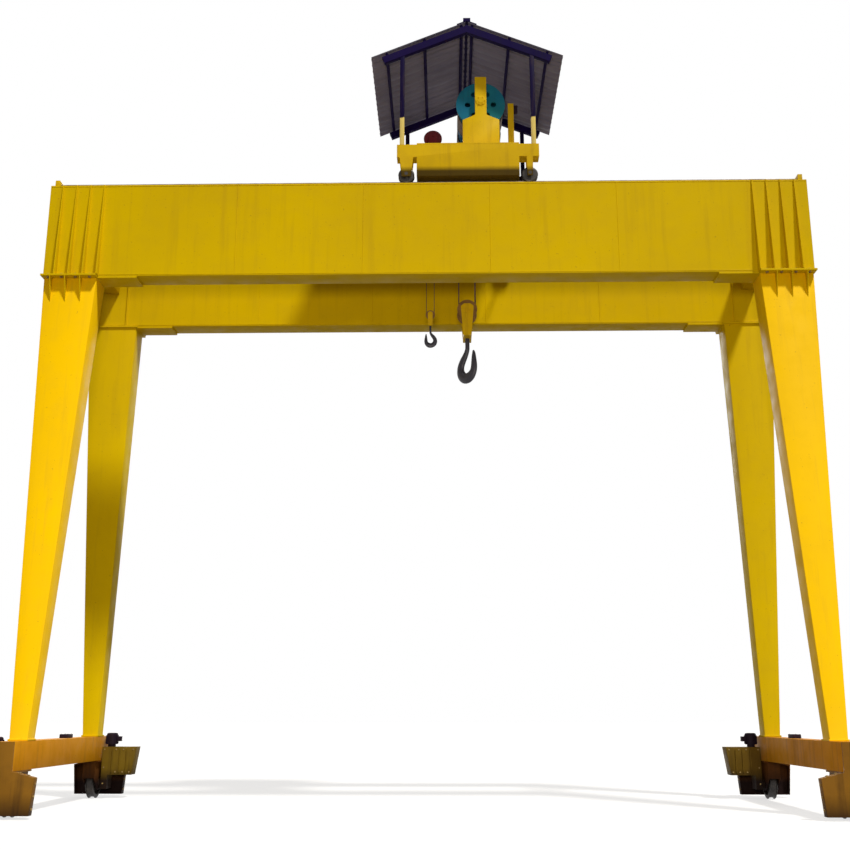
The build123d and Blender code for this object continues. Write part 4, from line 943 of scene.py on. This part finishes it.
# %% Hoist gear case and bearing cap
drum_low, drum_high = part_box("main_drum")
drum_x, drum_z = ((drum_low + drum_high) / 2).xz
case_low, case_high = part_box("hoist_gearbox")
rib_spacing = 0.22
bm = bmesh.new()
cover(bm, (drum_x, case_high.y, drum_z), (0, 1, 0), radius=0.2, count=8, thread=0.018)
cover(bm, (hoist_mid.x, case_high.y, shaft_z), (0, 1, 0), radius=0.13, count=6, thread=0.014)
for i in (-1, 0, 1):
    middle = (drum_x + i * rib_spacing, case_high.y + 0.006, case_low.z + 0.42)
    stiffener(bm, middle, (0.024, 0.036, 0.8))
print("hoist gear case", len(bm.faces), "faces")
add_piece(bm, "hoist_gear_case_covers", gearbox_paint, "trolley")
bm = bmesh.new()
stand_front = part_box("drum_stands")[0].y
cover(bm, (drum_x, stand_front, drum_z), (0, -1, 0), radius=0.105, count=6, thread=0.014)
print("bearing cap", len(bm.faces), "faces")
add_piece(bm, "drum_bearing_cap", trolley_paint, "trolley")

# %% [markdown]
# ## Rope on the drums
#
# With the hooks raised, most of each rope lies on its drum in close turns. The turns start
# one lay beside the fall, so a ring of the rope's outline is put there and spun about the drum's
# axle while it steps along it. They turn with the drum and stay clear of the fall.


# %% Wound rope
def wound_rope(bm, start, middle, radius, lay, turns, steps, side):
    """Close turns of rope from a start on the drum's side, each one lay further along it."""
    before = set(bm.edges)
    ring = bmesh.ops.create_circle(bm, cap_ends=False, segments=8, radius=radius)["verts"]
    bmesh.ops.translate(bm, verts=ring, vec=start)
    edges = [e for e in bm.edges if e not in before]
    bmesh.ops.spin(bm, geom=edges, cent=middle, axis=(0, 1, 0), dvec=(0, side * lay / steps, 0),
                   angle=2 * pi * turns, steps=round(steps * turns), use_merge=False, use_duplicate=False)
    cap_ends(bm)


main_lay, main_turns, aux_lay, aux_turns = 0.0245, 19.3, 0.0155, 17.3
bm = bmesh.new()
for side in (-1, 1):
    start = Vector((main_low.x + main_radius, side * (main_high.y - main_radius), main_high.z))
    start.y += side * main_lay
    wound_rope(bm, start, (drum_x, start.y, drum_z), main_radius, main_lay, main_turns, 36, side)
bmesh.ops.recalc_face_normals(bm, faces=bm.faces)
print("main drum rope", len(bm.faces), "faces")
add_piece(bm, "main_drum_rope", rope_steel, "main_drum")
bm = bmesh.new()
start = Vector((aux_low.x + aux_radius, aux_y + aux_lay, aux_high.z))
wound_rope(bm, start, (aux_drum_x, start.y, aux_drum_z), aux_radius, aux_lay, aux_turns, 28, 1)
bmesh.ops.recalc_face_normals(bm, faces=bm.faces)
print("auxiliary drum rope", len(bm.faces), "faces")
add_piece(bm, "aux_drum_rope", rope_steel, "aux_drum")

# %% [markdown]
# ## Hood fixings
#
# The roof sheets are screwed through their pans into the purlins, and the ridge cap is screwed
# along both wings. A screw is placed by walking down the slope from the ridge.

# %% Hood screws
roof_pitch, sheet_ridge_z, screw_spaces = radians(22.6), 15.65, 15
screw_rows = ((0.19, 0.03), (0.96, 0.004), (1.8, 0.004))
sheet_low, sheet_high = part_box("hood_right_sheet")
cap_low, cap_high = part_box("hood_ridge_cap")
ridge_x = (cap_low.x + cap_high.x) / 2
places = []
for side in (-1, 1):
    outward = Vector((side * sin(roof_pitch), 0, cos(roof_pitch)))
    down = Vector((side * cos(roof_pitch), 0, -sin(roof_pitch)))
    for i in range(1, screw_spaces):
        y = sheet_low.y + i * (sheet_high.y - sheet_low.y) / screw_spaces
        for run, rise in screw_rows:
            places.append((Vector((ridge_x, y, sheet_ridge_z)) + down * run + outward * rise, outward))
bolts("hood_screws", places, 0.012, hood_navy, "trolley")

# %% [markdown]
# ## Cable boxes and a grease pot
#
# The cables of the travel drives meet in a flat box on each sill, which is the terminal box of the
# motors in another size. The pot of grease that is kept on the deck is one more turned profile.

# %% Cable boxes and a grease pot
sill_top, deck_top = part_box("left_sill_beam")[1].z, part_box("trolley_deck")[1].z
bm = bmesh.new()
for sx in (-1, 1):
    terminal_box(bm, Vector((sx * sill_x, 0.3, sill_top + 0.035)), Vector((0.16, 0.3, 0.08)), (0, 0, 1))
print("cable boxes", len(bm.faces), "faces")
add_piece(bm, "sill_cable_boxes", motor_paint, "crane")
pot_profile = [(0, -bedding), (0.075, -bedding), (0.075, 0.13), (0.066, 0.15), (0.03, 0.17),
               (0.026, 0.2), (0, 0.2)]
bm = bmesh.new()
turned(bm, pot_profile, 24, (0.68, -0.95, deck_top), (0, 0, 1))
print("grease pot", len(bm.faces), "faces")
add_piece(bm, "grease_pot", drive_paint_grease_and_shade, "trolley")

# %% [markdown]
# ## Small fittings of the hoist
#
# The limit switch hangs on its post beside the drum, and the sheave pin of the main block is kept
# from turning by a plate bolted to each cheek. Both come from the box and bar made above.

# %% Limit switch
post_low, post_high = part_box("limit_post")
middle = Vector((post_high.x + 0.04, (post_low.y + post_high.y) / 2, post_high.z - 0.13))
bm = bmesh.new()
terminal_box(bm, middle, Vector((0.08, 0.075, 0.17)), (1, 0, 0))
print("limit switch", len(bm.faces), "faces")
add_piece(bm, "limit_switch", motor_paint, "trolley")

# %% Pin keepers
keeper_length, keeper_thickness, keeper_height = 0.13, 0.012, 0.045
block_low, block_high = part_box("main_block")
block_x, keeper_z = (block_low.x + block_high.x) / 2, block_high.z - 0.172
cheek_y = block_high.y - 0.02
bm = bmesh.new()
for side in (-1, 1):
    stiffener(bm, (block_x, side * (cheek_y + keeper_thickness / 2), keeper_z),
              (keeper_length, keeper_thickness, keeper_height))
    for x in (-0.045, 0.045):
        bolt(bm, (block_x + x, side * (cheek_y + keeper_thickness), keeper_z), (0, side, 0), 0.011)
print("pin keepers", len(bm.faces), "faces")
add_piece(bm, "pin_keepers", trolley_paint, "main_block")
